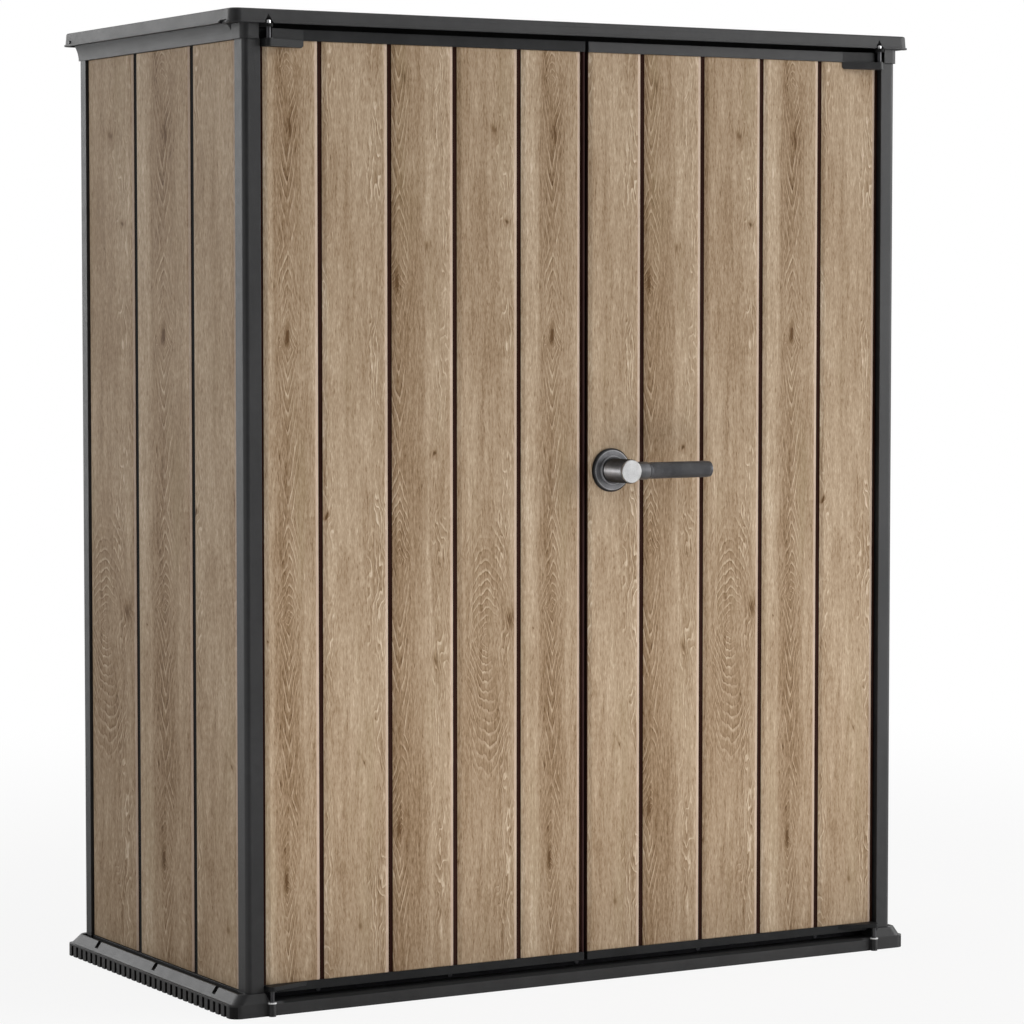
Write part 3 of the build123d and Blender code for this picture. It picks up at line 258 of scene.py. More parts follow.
floor_white, floor_shader, floor_place = new_finish("studio_white")
plug_in(floor_shader, {"Base Color": paint(238, 238, 238), "Roughness": 0.9})
floor_tree = floor_white.node_tree
away = floor_place.node("ShaderNodeVectorMath", {"operation": "LENGTH"}, {0: floor_place}, "Value")
glow = floor_place.node("ShaderNodeEmission", {}, {"Color": (1, 1, 1, 1), "Strength": 1.0})
glowing = seen_directly(floor_tree) * (1 - seen_in_mirror(floor_tree))
glowing = glowing * (GLOW_NEAR + (1 - GLOW_NEAR) * step(away, NEAR, FAR))
paint_part = Wire(floor_tree, floor_shader.outputs[0])
mixed = glow.node("ShaderNodeMixShader", {}, {0: glowing, 1: paint_part, 2: glow})
plug_in(floor_tree.nodes["Material Output"], {"Surface": mixed})
floor.data.materials.append(floor_white)
print("floor lies at z =", round(cad_box[0][2], 4))

# %% [markdown]
# The light is soft, as in a white studio. A big key light stands to the front right, so the right edge of
# each board catches it, and a small one hangs in front and above. A weaker one stands to the left and
# behind, and gives the left faces of the dark posts their pale sheen, with another at the left to fill in.
# A low one lies in front of the doors and lifts their lower half, as light thrown back by a bright floor
# does.

# %% Hang the lamps
def softbox(name, place, aim, size, watts, depth=None):
    """An area light at a place, turned to a point: a square, or a rectangle if it has a depth."""
    turn = (Vector(aim) - Vector(place)).to_track_quat("-Z", "Y").to_euler()
    bpy.ops.object.light_add(type="AREA", location=place, rotation=turn)
    lamp = bpy.context.active_object
    lamp.name = name
    lamp.data.size = size
    lamp.data.energy = watts
    if depth:
        lamp.data.shape = "RECTANGLE"
        lamp.data.size_y = depth
    return lamp


softbox("key_light", (6.6, -4.2, 1.9), (0.1, -0.3, 0.8), 5.5, 468)
softbox("top_light", (1.2, -3.6, 5.0), (0.1, -0.3, 1.0), 2.5, 40)
softbox("rear_left_light", (-2.4, 4.8, 2.0), (-0.6, 0.0, 0.7), 3.6, 80)
softbox("left_light", (-5.2, -1.2, 0.8), (-0.4, -0.2, 0.6), 2.4, 36)
low_light = softbox("low_light", (0.0, -0.93, 0.01), (0.0, -0.88, 1.0), 5.0, 29, depth=0.94)
low_light.visible_camera = False
low_light.visible_glossy = False

# %% [markdown]
# The white room around the lamps is the world: white where it is seen, dimmer where it lights the shed, and
# dark behind the camera for things that mirror it, so the rounded corners of the posts keep a dark line.

# %% Build the white room
ROOM_LIGHT = 0.24
BACK_OF_ROOM, DARK_FROM, DARK_TO, DARKEST = (0.5, 0.86, 0), -1.05, 0.35, 0.95

room = bpy.data.worlds.new("white_room")
bpy.context.scene.world = room
room.use_nodes = True
room_tree = room.node_tree
seen = seen_directly(room_tree)
toward = Wire(room_tree, room_tree.nodes.new("ShaderNodeTexCoord").outputs["Generated"])
facing = toward.node("ShaderNodeVectorMath", {"operation": "DOT_PRODUCT"},
                     {0: toward, 1: BACK_OF_ROOM}, "Value")
dark_end = seen_in_mirror(room_tree) * (1 - step(facing, DARK_FROM, DARK_TO)) * DARKEST
strength = (seen + (1 - seen) * ROOM_LIGHT) * (1 - dark_end)
plug_in(room_tree.nodes["Background"], {"Color": (1, 1, 1, 1), "Strength": strength})
bpy.context.scene.view_settings.view_transform = "Standard"
print("the room lights the shed at", ROOM_LIGHT)

# %% [markdown]
# ## Moulded resin
# Posts, rails, roof and floor are charcoal resin from a mould with a fine spark-eroded texture: matt, a
# little cloudy, with a grain of about half a millimetre. The same recipe, with other colours, serves the
# dark panels behind the boards, the insides, the trim and the nylon bushes, and darker copies of the
# charcoal are painted shade on the door rails and on the beams under the roof. Black plastic is mostly what
# it mirrors, so a lower index of refraction makes a rail that lies in shade darker than any paint could.

# %% The recipe for resin
# The black of painted shade, for recesses and for parts that lie in shade.
PAINTED_SHADE_BLACK = paint(5, 5, 5)


def resin(name, colour, grain_per_metre, depth, rough, edge, gloss=1.45, painted_shade=None):
    """A moulded plastic with cloudy colour and a fine grain, with painted shade, dull black, in the places
    that a mask marks.
    """
    finish, shader, place = new_finish(name)
    flow = cloud(place, 9, 3.0, (1, 1, 0.4))
    speck = cloud(place, grain_per_metre, 2.0)
    wear_and_highlight = cloud(place, 60, 4.0)
    tint = blend(step(flow + wear_and_highlight * 0.5 + speck * 0.5, -0.3, 0.34), colour, shade(colour, 1.5, 0.006))
    roughness = rough + wear_and_highlight * 0.14 + speck * 0.18
    # Painted shade: where the mask says so, the colour is painted dull black.
    if painted_shade:
        x, y, z = (coordinate(place, axis) for axis in "XYZ")
        shade_mask = painted_shade(abs(x), y, z)
        tint = blend(shade_mask, tint, PAINTED_SHADE_BLACK)
        roughness = roughness + shade_mask * 0.45
    plug_in(shader, {"Base Color": tint, "Roughness": roughness, "IOR": gloss,
                     "Normal": bumpy(speck, depth, rounded(place, edge))})
    return finish


print("the recipe for resin is ready")

# %% [markdown]
# Deep recesses get painted shade: they are painted black, so they look black however they are lit. Each of
# these masks is 1 where shade is painted on one kind of piece and 0 elsewhere, read from the place in
# metres. The shed is the same on its left and right, so the masks get x without its sign.

# %% Where shade is painted on the resin
BLUR = 0.00015
DRAIN_X, DRAIN_Z, DRAIN_FRONT = (0.6668, 0.6806), (0.029, 0.0395), -0.338
OUTLET_X, OUTLET_Z = (0.6795, 0.7), (0.0285, 0.0405)
OUTLET_PITCH, OUTLET_SHIFT, OUTLET_HALF = 0.252, 0.011, 0.0066
SLOT_X, SLOT_TOP = (0.69, 0.7003), 0.02
SILL_END, SILL_FACE, SILL_EDGE = 0.6, -0.344, 0.0198
ARM_END = 0.6415
WALL_X, WALL_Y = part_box("right_wall_panel")[1].x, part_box("left_rear_panel")[1].y
SKIN_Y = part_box("left_door_inner_skin")[1].y


def between(value, ends):
    """1 between two ends, 0 outside, with a third of a millimetre of blur."""
    low, high = ends
    return step(value, low - BLUR, low + BLUR) * (1 - step(value, high - BLUR, high + BLUR))


def floor_hollow_shade(x, y, z):
    """Painted shade in the drains behind the floor's side slopes, their outlets, the slots below and the
    sill's shoulder.
    """
    drain = between(x, DRAIN_X) * between(z, DRAIN_Z) * step(y, DRAIN_FRONT - 0.0005, DRAIN_FRONT)
    lap = y.math("FRACT", (y + OUTLET_SHIFT) / OUTLET_PITCH + 0.5)
    from_outlet = abs(lap - 0.5) * OUTLET_PITCH
    outlet = between(from_outlet, (-0.01, OUTLET_HALF)) * between(x, OUTLET_X) * between(z, OUTLET_Z)
    slot = between(x, SLOT_X) * (1 - step(z, SLOT_TOP, SLOT_TOP + 0.0006))
    shoulder = (1 - step(x, SILL_END, SILL_END + 0.01)) * (1 - step(y, SILL_FACE - 0.001, SILL_FACE))
    shoulder = shoulder * step(z, SILL_EDGE, SILL_EDGE + 0.0006)
    return drain.math("MINIMUM", drain + outlet + slot + shoulder, 1.0)


def bracket_arm(x, y, z):
    """The arm round the upper hinge pin, in the shade of the roof."""
    return 1 - step(x, ARM_END, ARM_END + 0.001)


def wall_groove_shade(x, y, z):
    """Painted shade on the outer face of a wall panel, at the bottom of the grooves."""
    side = step(x, WALL_X - 0.0012, WALL_X - 0.0008)
    rear = step(y, WALL_Y - 0.0012, WALL_Y - 0.0008)
    return side.math("MAXIMUM", side, rear)


def skin_edge_shade(x, y, z):
    """Painted shade on all of a door's inner skin but its inner face."""
    return 1 - step(y, SKIN_Y - 0.0006, SKIN_Y - 0.0003)


print("walls end at x =", round(WALL_X, 4), "and y =", round(WALL_Y, 4))

# %% [markdown]
# Each resin has a colour, the number of grains in a metre and their depth, a roughness, the radius of its
# edges and, where they differ, its index of refraction and the places where shade is painted on it.

# %% Mix the resins
CHARCOAL, INSIDE = paint(27, 27, 28), paint(88, 76, 66)
FINISHES = {
    "wall_resin": resin("wall_resin", INSIDE, 1100, 0.0002, 0.6, 0.001, 1.4, wall_groove_shade),
    "skin_resin": resin("skin_resin", INSIDE, 1100, 0.0002, 0.6, 0.001, 1.4, skin_edge_shade),
    "frame_resin": resin("charcoal_resin", CHARCOAL, 1500, 0.00022, 0.46, 0.0012),
    "floor_resin": resin("floor_resin", CHARCOAL, 1500, 0.00022, 0.44, 0.0012, painted_shade=floor_hollow_shade),
    "bracket_resin": resin("bracket_resin", CHARCOAL, 1500, 0.00022, 0.46, 0.0012, painted_shade=bracket_arm),
    # Darker copies of the charcoal: painted shade on the door rails, and on the header beam and stop rail
    # under the roof.
    "shaded_rail_resin": resin("shaded_rail_resin", paint(20, 21, 22), 1500, 0.00022, 0.5, 0.0012, 1.28),
    "shade_resin": resin("shade_resin", paint(10, 10, 10), 1500, 0.0002, 0.7, 0.0008, 1.15),
    "panel_resin": resin("brown_black_resin", paint(36, 15, 7), 900, 0.0002, 0.8, 0.0008, 1.15),
    "edge_trim": resin("trim_resin", paint(40, 20, 18), 1200, 0.00015, 0.7, 0.0005, 1.2),
    "bush_plastic": resin("bush_nylon", paint(26, 26, 27), 1200, 0.00008, 0.42, 0.0005),
}
print("resins:", ", ".join(FINISHES))

# %% [markdown]
# ## The oak print
# The boards are moulded resin with a printed oak face. Oak sawn near the middle of the log shows pointed
# arches stacked along the heart, with an eye where they close, and straight fibres towards the edges. Each
# arch is a line of equal distance from the heart, so the print is a distance field: how far a point lies to
# the side of the heart, added to how far along it lies from the nearest eye. The field is bent with noise
# and cut into rings, and each ring is drawn as a thin pale line. The board's own UV map holds metres across
# and up, so the grain keeps its size.

# %% How an oak print is drawn
def grey(tone):
    return (tone, tone, tone, 1.0)


OAK = [(0.0, paint(96, 70, 44)), (0.25, paint(134, 109, 82)), (0.5, paint(161, 138, 112)),
       (0.75, paint(185, 164, 139)), (1.0, paint(212, 195, 172))]
RING = [(0.0, grey(0.95)), (0.16, grey(0.84)), (0.26, grey(0.46)), (0.7, grey(0.42)), (0.93, grey(0.2)),
        (1.0, grey(0.85))]
OLIVE, PAINTED_HIGHLIGHT = paint(150, 132, 100), paint(196, 175, 162)
RINGS_PER_METRE, WAVES_PER_METRE, RING_STRENGTH = 190, 150, 0.68
HALO, MIDDLE = (0.55, 0.32), (4.0, 0.75)
Heart = namedtuple("Heart", "across eye reach spread lean roundness half tall core")


def oak_print(name, hearts, curls, knots, strips, level, seed):
    """A printed oak face, with sizes in metres.

    hearts: place across and height of an eye, distance between eyes, how far the arches spread, the share of
        them that point up, how round they are, half the width and height of the part where they show, and the
        half width of a bare eye
    curls: (across, half width, strength) of wavy grain
    knots: (across, height, half width, half height, darkness)
    strips: (across, softness, change of tone to its right)
    """
    finish, shader, place = new_finish(name)
    face = place.node("ShaderNodeUVMap", {"uv_map": "board"}, {})
    across, up = coordinate(face, "X"), coordinate(face, "Y")

    def grain(x, per_across, per_up, layer=0.0, detail=2.0):
        """Noise around zero, with so many spots in a metre across and up."""
        at = x.node("ShaderNodeCombineXYZ", {}, {"X": x * per_across, "Y": up * per_up, "Z": seed + layer})
        return at.node("ShaderNodeTexNoise", {}, {"Vector": at, "Scale": 1.0, "Detail": detail}) - 0.5

    def ring_line(phase):
        lap = phase.math("FRACT", phase)
        return lap.node("ShaderNodeValToRGB", {"stops": RING}, {"Fac": lap}) - 0.5

    # The grain sways from side to side, and its lines break off here and there.
    sway = across + grain(across, 8, 2.0) * 0.018 + grain(across, 45, 11, 3.1) * 0.007
    lift = up + grain(across, 60, 7, 5.7) * 0.035
    broken = step(grain(across, 50, 9, 8.3), -0.2, 0.12)
    ruffle = grain(across, 34, 10, 15.9) * 1.1

    lines, brown = 0.0, 0.0
    for heart in hearts:
        side = abs(sway - heart.across)
        off = lift - heart.eye
        lap = off.math("FRACT", off / heart.reach)
        along = lap.math("MINIMUM", lap / heart.lean, (1 - lap) / (1 - heart.lean)) ** 0.65 * heart.spread
        ring = (side ** heart.roundness + along ** heart.roundness) ** (1 / heart.roundness)
        shows = 1 - step(side, heart.half * 0.4, heart.half)
        shows = shows * (1 - step(abs(off), heart.tall * 0.5, heart.tall))
        drawn = shows * step(ring, heart.core * 0.8, heart.core + 0.0005)
        drawn_ring = ring_line((ring - heart.core) * RINGS_PER_METRE + ruffle)
        lines = lines + drawn_ring * drawn * broken * RING_STRENGTH
        brown = brown + shows * 0.05

    wander = sway * WAVES_PER_METRE + grain(across, 34, 9, 7.7) * 10
    for middle, half, strength in curls:
        off = (across - middle) / half
        patch = step(grain(across, 30, 6, 10.2 + middle * 40), -0.16, 0.1)
        lines = lines + ring_line(wander) * off.math("EXPONENT", off * off * -1.0) * patch * strength

    stain, ragged = 0.0, grain(across, 160, 50, 18.4, 3.0)
    for knot, height, wide, tall, dark in knots:
        off_x, off_z = (sway - knot + ragged * 0.004) / wide, (lift - height) / tall
        far = off_x * off_x + off_z * off_z
        halo, middle = (far.math("EXPONENT", far * -fall) * ink for fall, ink in (HALO, MIDDLE))
        stain = stain + (halo + middle) * dark

    fibre, strand = grain(sway, 640, 110, 1.3, 3.0), grain(sway, 300, 26, 2.6)
    vein, pores = grain(sway, 110, 6, 14.8), step(grain(sway, 480, 70, 12.5), 0.1, 0.2)
    tone = level + grain(sway, 32, 0.8, 4.4) * 0.3 + grain(sway, 14, 3.0, 6.2) * 0.42 + vein * 0.36 - brown
    tone = tone + strand * 0.48 + fibre * 0.76 - pores * 0.18 + lines - stain * (1.05 + strand * 1.5)
    for edge, soft, change in strips:
        tone = tone + step(sway, edge - soft, edge + soft) * change
    # Painted highlight: the print turns lighter and pinker on the right roll of each board, where the key
    # light falls.
    wear_and_highlight = place.node("ShaderNodeAttribute", {"attribute_name": "worn_edge"}, {}, "Fac")
    tone = tone + wear_and_highlight * 0.12

    colour = tone.node("ShaderNodeValToRGB", {"stops": OAK}, {"Fac": tone})
    olive = step(grain(sway, 20, 2.4, 9.4), -0.02, 0.26) * 0.5
    colour = blend(olive, colour, blend(olive, colour, OLIVE))
    colour = blend(wear_and_highlight * 0.5, colour, PAINTED_HIGHLIGHT)
    relief = fibre * 0.5 + strand * 0.5 + lines * 0.4 - pores * 0.3
    plug_in(shader, {"Base Color": colour, "Roughness": 0.6 + strand * 0.2 - lines * 0.1, "IOR": 1.2,
                     "Normal": bumpy(relief, 0.00035, rounded(place, 0.0006))})
    return finish


print("the oak print has", len(OAK), "tones")

# %% [markdown]
# Moulded boards repeat a few prints. This shed uses four, each with its own hearts, eyes, wavy strips and
# knots, and hides the repeats by mixing their order from board to board.

# %% Draw the four prints
PRINTS = {
    "A": oak_print("oak_print_diamond",
                   [Heart(0.063, 0.675, 0.465, 0.05, 0.36, 1.3, 0.026, 3, 0)],
                   [(0.1, 0.012, 0.25)],
                   [(0.061, 0.225, 0.004, 0.019, 0.9), (0.061, 1.155, 0.004, 0.019, 0.9),
                    (0.068, 1.51, 0.005, 0.022, 0.4), (0.048, 0.395, 0.0015, 0.01, 0.5),
                    (0.046, 0.955, 0.0015, 0.01, 0.5), (0.025, 0.635, 0.0018, 0.003, 0.9)],
                   [(0.036, 0.005, -0.2), (0.09, 0.02, 0.08)], level=0.66, seed=11.0),
    "B": oak_print("oak_print_two_hearts",
                   [Heart(0.014, 0.77, 0.472, 0.05, 0.36, 1.3, 0.026, 3, 0)],
                   [(0.095, 0.018, 0.7)],
                   [(0.010, 0.3, 0.004, 0.02, 0.75), (0.011, 1.255, 0.004, 0.02, 0.75),
                    (0.084, 0.95, 0.0045, 0.007, 0.9), (0.084, 0.59, 0.006, 0.014, 0.45),
                    (0.071, 1.31, 0.006, 0.016, 0.4), (0.026, 1.6, 0.005, 0.016, 0.4)],
                   [(0.065, 0.006, 0.17)], level=0.43, seed=23.0),
    "C": oak_print("oak_print_plain",
                   [],
                   [(0.104, 0.022, 0.8), (0.012, 0.014, 0.6)],
                   [(0.008, 0.85, 0.0045, 0.008, 0.9), (0.078, 0.42, 0.003, 0.005, 0.7),
                    (0.085, 0.875, 0.0012, 0.03, 0.6), (0.07, 0.135, 0.008, 0.012, 0.35)],
                   [(0.09, 0.02, -0.06)], level=0.6, seed=37.0),
    "D": oak_print("oak_print_oval",
                   [Heart(0.06, 0.62, 0.87, 0.12, 0.5, 1.7, 0.056, 0.3, 0.012)],
                   [(0.1, 0.022, 0.7)],
                   [(0.108, 0.66, 0.014, 0.032, 0.45), (0.075, 1.515, 0.012, 0.02, 0.35),
                    (0.1, 1.355, 0.0035, 0.006, 0.8)],
                   [(0.1, 0.012, 0.04)], level=0.51, seed=53.0),
}
print(len(PRINTS), "oak prints")

# %% [markdown]
# ## The boards
# On the real shed each board is a shallow pillow: flat in the middle, with long edges that roll back into a
# dark groove. A cube of the board's size is cut lengthwise near both edges, the outer front edges are
# pushed back, and the creases are bevelled. The pale line along the right edge of each board is then real
# light on a real slope, and a painted highlight on the right roll adds to it.

# %% Model a board
ROLL_W, ROLL_D, RIM_W, CREASE_BEVEL = 0.0088, 0.0031, 0.0013, 0.0018
MODES = {"verts": "VERT", "edges": "EDGE", "faces": "FACE"}


def pick(piece, kind, wanted):
    """In edit mode, select the vertices, edges or faces that wanted says yes to."""
    bpy.ops.mesh.select_all(action="DESELECT")
    bpy.ops.mesh.select_mode(type=MODES[kind])
    mesh = bmesh.from_edit_mesh(piece.data)
    for item in getattr(mesh, kind):
        if wanted(item):
            item.select_set(True)
    mesh.select_flush_mode()
    bmesh.update_edit_mesh(piece.data)


def model_board(name, wide, thick, tall):
    """A board at the origin that faces -Y."""
    bpy.ops.object.select_all(action="DESELECT")
    bpy.ops.mesh.primitive_cube_add(size=1, scale=(wide, thick, tall))
    board = bpy.context.active_object
    board.name = name
    bpy.ops.object.transform_apply(location=False, rotation=False, scale=True)
    crease = wide / 2 - ROLL_W
    bpy.ops.object.mode_set(mode="EDIT")
    for side in (-crease, crease):
        bpy.ops.mesh.select_all(action="SELECT")
        bpy.ops.mesh.bisect(plane_co=(side, 0, 0), plane_no=(1, 0, 0))
    pick(board, "verts", lambda v: v.co.y < 0 and abs(v.co.x) > crease + 0.001)
    bpy.ops.transform.translate(value=(0, ROLL_D, 0))
    pick(board, "edges", lambda e: all(v.co.y < 0 and abs(abs(v.co.x) - crease) < 0.0005 for v in e.verts))
    bpy.ops.mesh.bevel(offset=CREASE_BEVEL, segments=3)
    for side in (-1, 1):
        bpy.ops.mesh.select_all(action="SELECT")
        bpy.ops.mesh.bisect(plane_co=(side * (wide / 2 - RIM_W), 0, 0), plane_no=(1, 0, 0))
    bpy.ops.object.mode_set(mode="OBJECT")
    bpy.ops.object.shade_flat()
    return board


def map_board(board, wide, height, start, share):
    """Lay the print on a board: metres across from its left edge, and metres up from the floor, and mark its
    right roll for a painted highlight.
    """
    # Painted highlight: the right roll of the board is marked, and the print is lighter and pinker there.
    wear_and_highlight = board.data.attributes.new("worn_edge", "FLOAT", "POINT")
    for spot in board.data.vertices:
        wear_and_highlight.data[spot.index].value = 1.0 if spot.co.x > wide / 2 - ROLL_W + 0.001 else 0.0
    layer = board.data.uv_layers.new(name="board")
    for loop in board.data.loops:
        spot = board.data.vertices[loop.vertex_index].co
        layer.data[loop.index].uv = (start + share * (spot.x + wide / 2), height + spot.z)


def dark_rims(board, wide):
    """The print stops short of the edges: rims, sides, ends and back take the second, dark finish."""
    for face in board.data.polygons:
        printed = face.normal.y < -0.3 and abs(face.center.x) < wide / 2 - RIM_W
        face.material_index = 0 if printed else 1


print("a board's edges roll back", ROLL_D * 1000, "mm")

# %% [markdown]
# Each wall is laid out from the ends of its solid and the places of its grooves, as seen from outside, left
# to right. The doors and the back show the prints at full size, and the side walls show them twice as wide,
# with wider grooves and a gap beside the front post. Each board has a print, the place across where it
# starts, and its size. The groove at 0 in the back is the joint between two panels, which a post covers.

# %% List the walls and doors
JOINT_POST_W = 0.025
Wall = namedtuple("Wall", "body node turn groove gaps grooves prints")
WALLS = [
    Wall("left_door", "left_door_boards", 0, 0.006, (0, 0), (-0.523, -0.389, -0.2605, -0.132),
         [("A", 0.0185, 1), ("C", 0, 1), ("B", 0, 1), ("D", 0, 1), ("A", 0, 1)]),
    Wall("right_door", "right_door_boards", 0, 0.006, (0, 0), (0.123, 0.251, 0.379, 0.507),
         [("C", 0.012, 1), ("B", 0, 1), ("D", 0, 1), ("A", 0, 1), ("C", 0, 1)]),
    Wall("cabinet", "left_wall_boards", -90, 0.0105, (0, 0.006), (-0.1035, 0.135),
         [("D", 0.023, 0.5), ("A", 0.0055, 0.5), ("C", 0.004, 0.5)]),
    Wall("cabinet", "right_wall_boards", 90, 0.0105, (0.006, 0), (-0.135, 0.1035),
         [("B", 0.01, 0.5), ("D", 0.004, 0.5), ("A", 0.02, 0.5)]),
    Wall("cabinet", "rear_wall_boards", 180, 0.006, (0, 0),
         (-0.5135, -0.3885, -0.2635, -0.1385, 0, 0.1385, 0.2635, 0.3885, 0.5135),
         [("B", 0, 1), ("D", 0, 1), ("A", 0, 1), ("C", 0, 1), ("B", 0, 1),
          ("A", 0, 1), ("C", 0, 1), ("D", 0, 1), ("B", 0, 1), ("C", 0, 1)]),
]
print(len(WALLS), "walls and doors,", sum(len(wall.prints) for wall in WALLS), "boards")

# %% [markdown]
# A board is modelled at the origin, facing the front, and then turned and moved to its wall. It rides on
# the wall's body, and all the boards of a wall together replace its plain solid.

# %% Board the walls and doors
boards = {}
for wall in WALLS:
    low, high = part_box(wall.node)
    heading = math.radians(wall.turn)
    right = Vector((round(math.cos(heading)), round(math.sin(heading)), 0))
    out = Vector((right.y, -right.x, 0))
    ends = sorted((low.dot(right), high.dot(right)))
    depth = sorted((low.dot(out), high.dot(out)))
    halves = [(wall.groove if g else JOINT_POST_W) / 2 for g in wall.grooves]
    starts = [ends[0] + wall.gaps[0]] + [g + half for g, half in zip(wall.grooves, halves)]
    stops = [g - half for g, half in zip(wall.grooves, halves)] + [ends[1] - wall.gaps[1]]
    middle_z = (low.z + high.z) / 2
    for count, (start, stop, (name, begin, share)) in enumerate(zip(starts, stops, wall.prints), 1):
        wide = stop - start
        board = model_board(f"{wall.node[:-1]}_{count}", wide, depth[1] - depth[0], high.z - low.z)
        map_board(board, wide, middle_z, begin, share)
        board.location = right * (start + stop) / 2 + out * sum(depth) / 2 + Vector((0, 0, middle_z))
        board.rotation_euler = (0, 0, heading)
        dark_rims(board, wide)
        bpy.ops.object.transform_apply(location=True, rotation=True, scale=True)
        board.data.materials.append(PRINTS[name])
        board.data.materials.append(FINISHES["panel_resin"])
        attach(board, wall.body)
        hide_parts(wall.node)
        boards[board.name] = board
print(len(boards), "boards:", ", ".join(sorted(boards)))

# %% [markdown]
# The handle's spindle passes through the first board of the right door, so that board has a hole. A
# cylinder marks it, and a Boolean modifier cuts it.

# %% Drill the board behind the handle
SPINDLE_HOLE_R = 0.0065
rose_low, rose_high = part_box("handle_rose")
hub = (rose_low + rose_high) / 2
bpy.ops.object.select_all(action="DESELECT")
bpy.ops.mesh.primitive_cylinder_add(vertices=48, radius=SPINDLE_HOLE_R, depth=0.05,
                                    location=(hub.x, hub.y + 0.01, hub.z), rotation=(math.pi / 2, 0, 0))
drill = bpy.context.active_object
drilled = boards["right_door_board_1"]
bpy.ops.object.select_all(action="DESELECT")
bpy.context.view_layer.objects.active = drilled
cut = drilled.modifiers.new("spindle_hole", "BOOLEAN")
cut.object = drill
cut.solver = "EXACT"
bpy.ops.object.modifier_apply(modifier=cut.name)
bpy.data.objects.remove(drill)
print("the drilled board has", len(drilled.data.polygons), "faces")

# %% [markdown]
# ## The knurled grip
# The lever's grip is cut with a diamond knurl so that a wet hand can turn it. A cylinder gets rounded ends
# and is cut into small squares. Poking the squares and dissolving their old edges leaves diamonds, and
# poking those outwards makes the little pyramids.

# %% Model the grip
KNURL_H, KNURL_N, BAND, ROUND_END = 0.00045, 48, 0.005, 0.0022
low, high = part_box("lever_grip")
grip_r, grip_l = (high.z - low.z) / 2, high.x - low.x
knurl_end = grip_l / 2 - BAND


def on_knurl(face):
    """A face of the grip's side, between its plain ends."""
    middle = face.calc_center_median()
    return abs(middle.x) < knurl_end and middle.yz.length > grip_r * 0.9


def is_square_edge(edge):
    """An old edge of the squares, between two poked faces."""
    first, second = (v.co for v in edge.verts)
    if len(edge.link_faces) != 2 or any(len(f.verts) != 3 for f in edge.link_faces):
        return False
    straight = (first - second).yz.length < 1e-5 or abs(first.x - second.x) < 1e-5
    return straight and max(abs(first.x), abs(second.x)) < knurl_end + 0.002


bpy.ops.object.select_all(action="DESELECT")
bpy.ops.mesh.primitive_cylinder_add(vertices=KNURL_N, radius=grip_r - KNURL_H, depth=grip_l,
                                    rotation=(0, math.pi / 2, 0))
grip = bpy.context.active_object
grip.name = "knurled_grip"
bpy.ops.object.transform_apply(location=False, rotation=True, scale=False)
bpy.ops.object.mode_set(mode="EDIT")
pick(grip, "edges", lambda e: abs(e.verts[0].co.x - e.verts[1].co.x) < 1e-5)
bpy.ops.mesh.bevel(offset=ROUND_END, segments=4)
pick(grip, "edges", lambda e: abs(e.verts[0].co.x - e.verts[1].co.x) > grip_l / 2)
bpy.ops.mesh.subdivide(number_cuts=round(grip_l / (2 * math.pi * grip_r / KNURL_N)) - 1)
pick(grip, "faces", on_knurl)
bpy.ops.mesh.poke()
pick(grip, "edges", is_square_edge)
bpy.ops.mesh.dissolve_edges(use_verts=False)
pick(grip, "faces", lambda f: len(f.verts) == 4 and on_knurl(f))
bpy.ops.mesh.poke(offset=KNURL_H * 1.3)
bpy.ops.object.mode_set(mode="OBJECT")
grip.location = (low + high) / 2
bpy.ops.object.transform_apply(location=True, rotation=False, scale=False)
bpy.ops.object.shade_smooth_by_angle(angle=math.radians(12))
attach(grip, "handle")
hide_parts("lever_grip")
print("the grip has", len(grip.data.polygons), "faces")

# %% [markdown]
# ## Metals
# The handle is powder-coated die-cast: dark grey, satin, with a faint orange peel. Its rose has painted
# highlights in pale rings and painted shade on its rim, and its neck has a painted highlight along the middle
# that darkens to painted shade above and below, so both take a tone by the distance from the handle's axis.
# The cap is turned aluminium, with fine rings round the hub. Hinge pins are dark steel with a painted glint on
# their tips, on bright washers. The latch and the bolts are zinc-plated, with the cloudy look of plating, and
# the threshold is aluminium, coloured near black and brushed along its length.

# %% The recipes for metal
TONE_REACH = 0.04
PAINTED_GLINT = paint(235, 235, 235)


def from_hub(place):
    """Distance from the axis of the handle."""
    centred = place.node("ShaderNodeMapping", {}, {"Vector": place, "Location": (-hub.x, 0, -hub.z)})
    flat = centred.node("ShaderNodeVectorMath", {"operation": "MULTIPLY"}, {0: centred, 1: (1, 0, 1)})
    return flat.node("ShaderNodeVectorMath", {"operation": "LENGTH"}, {0: flat}, "Value")


def above_hub(place):
    """Height above or below the axis of the handle."""
    return abs(coordinate(place, "Z") - hub.z)


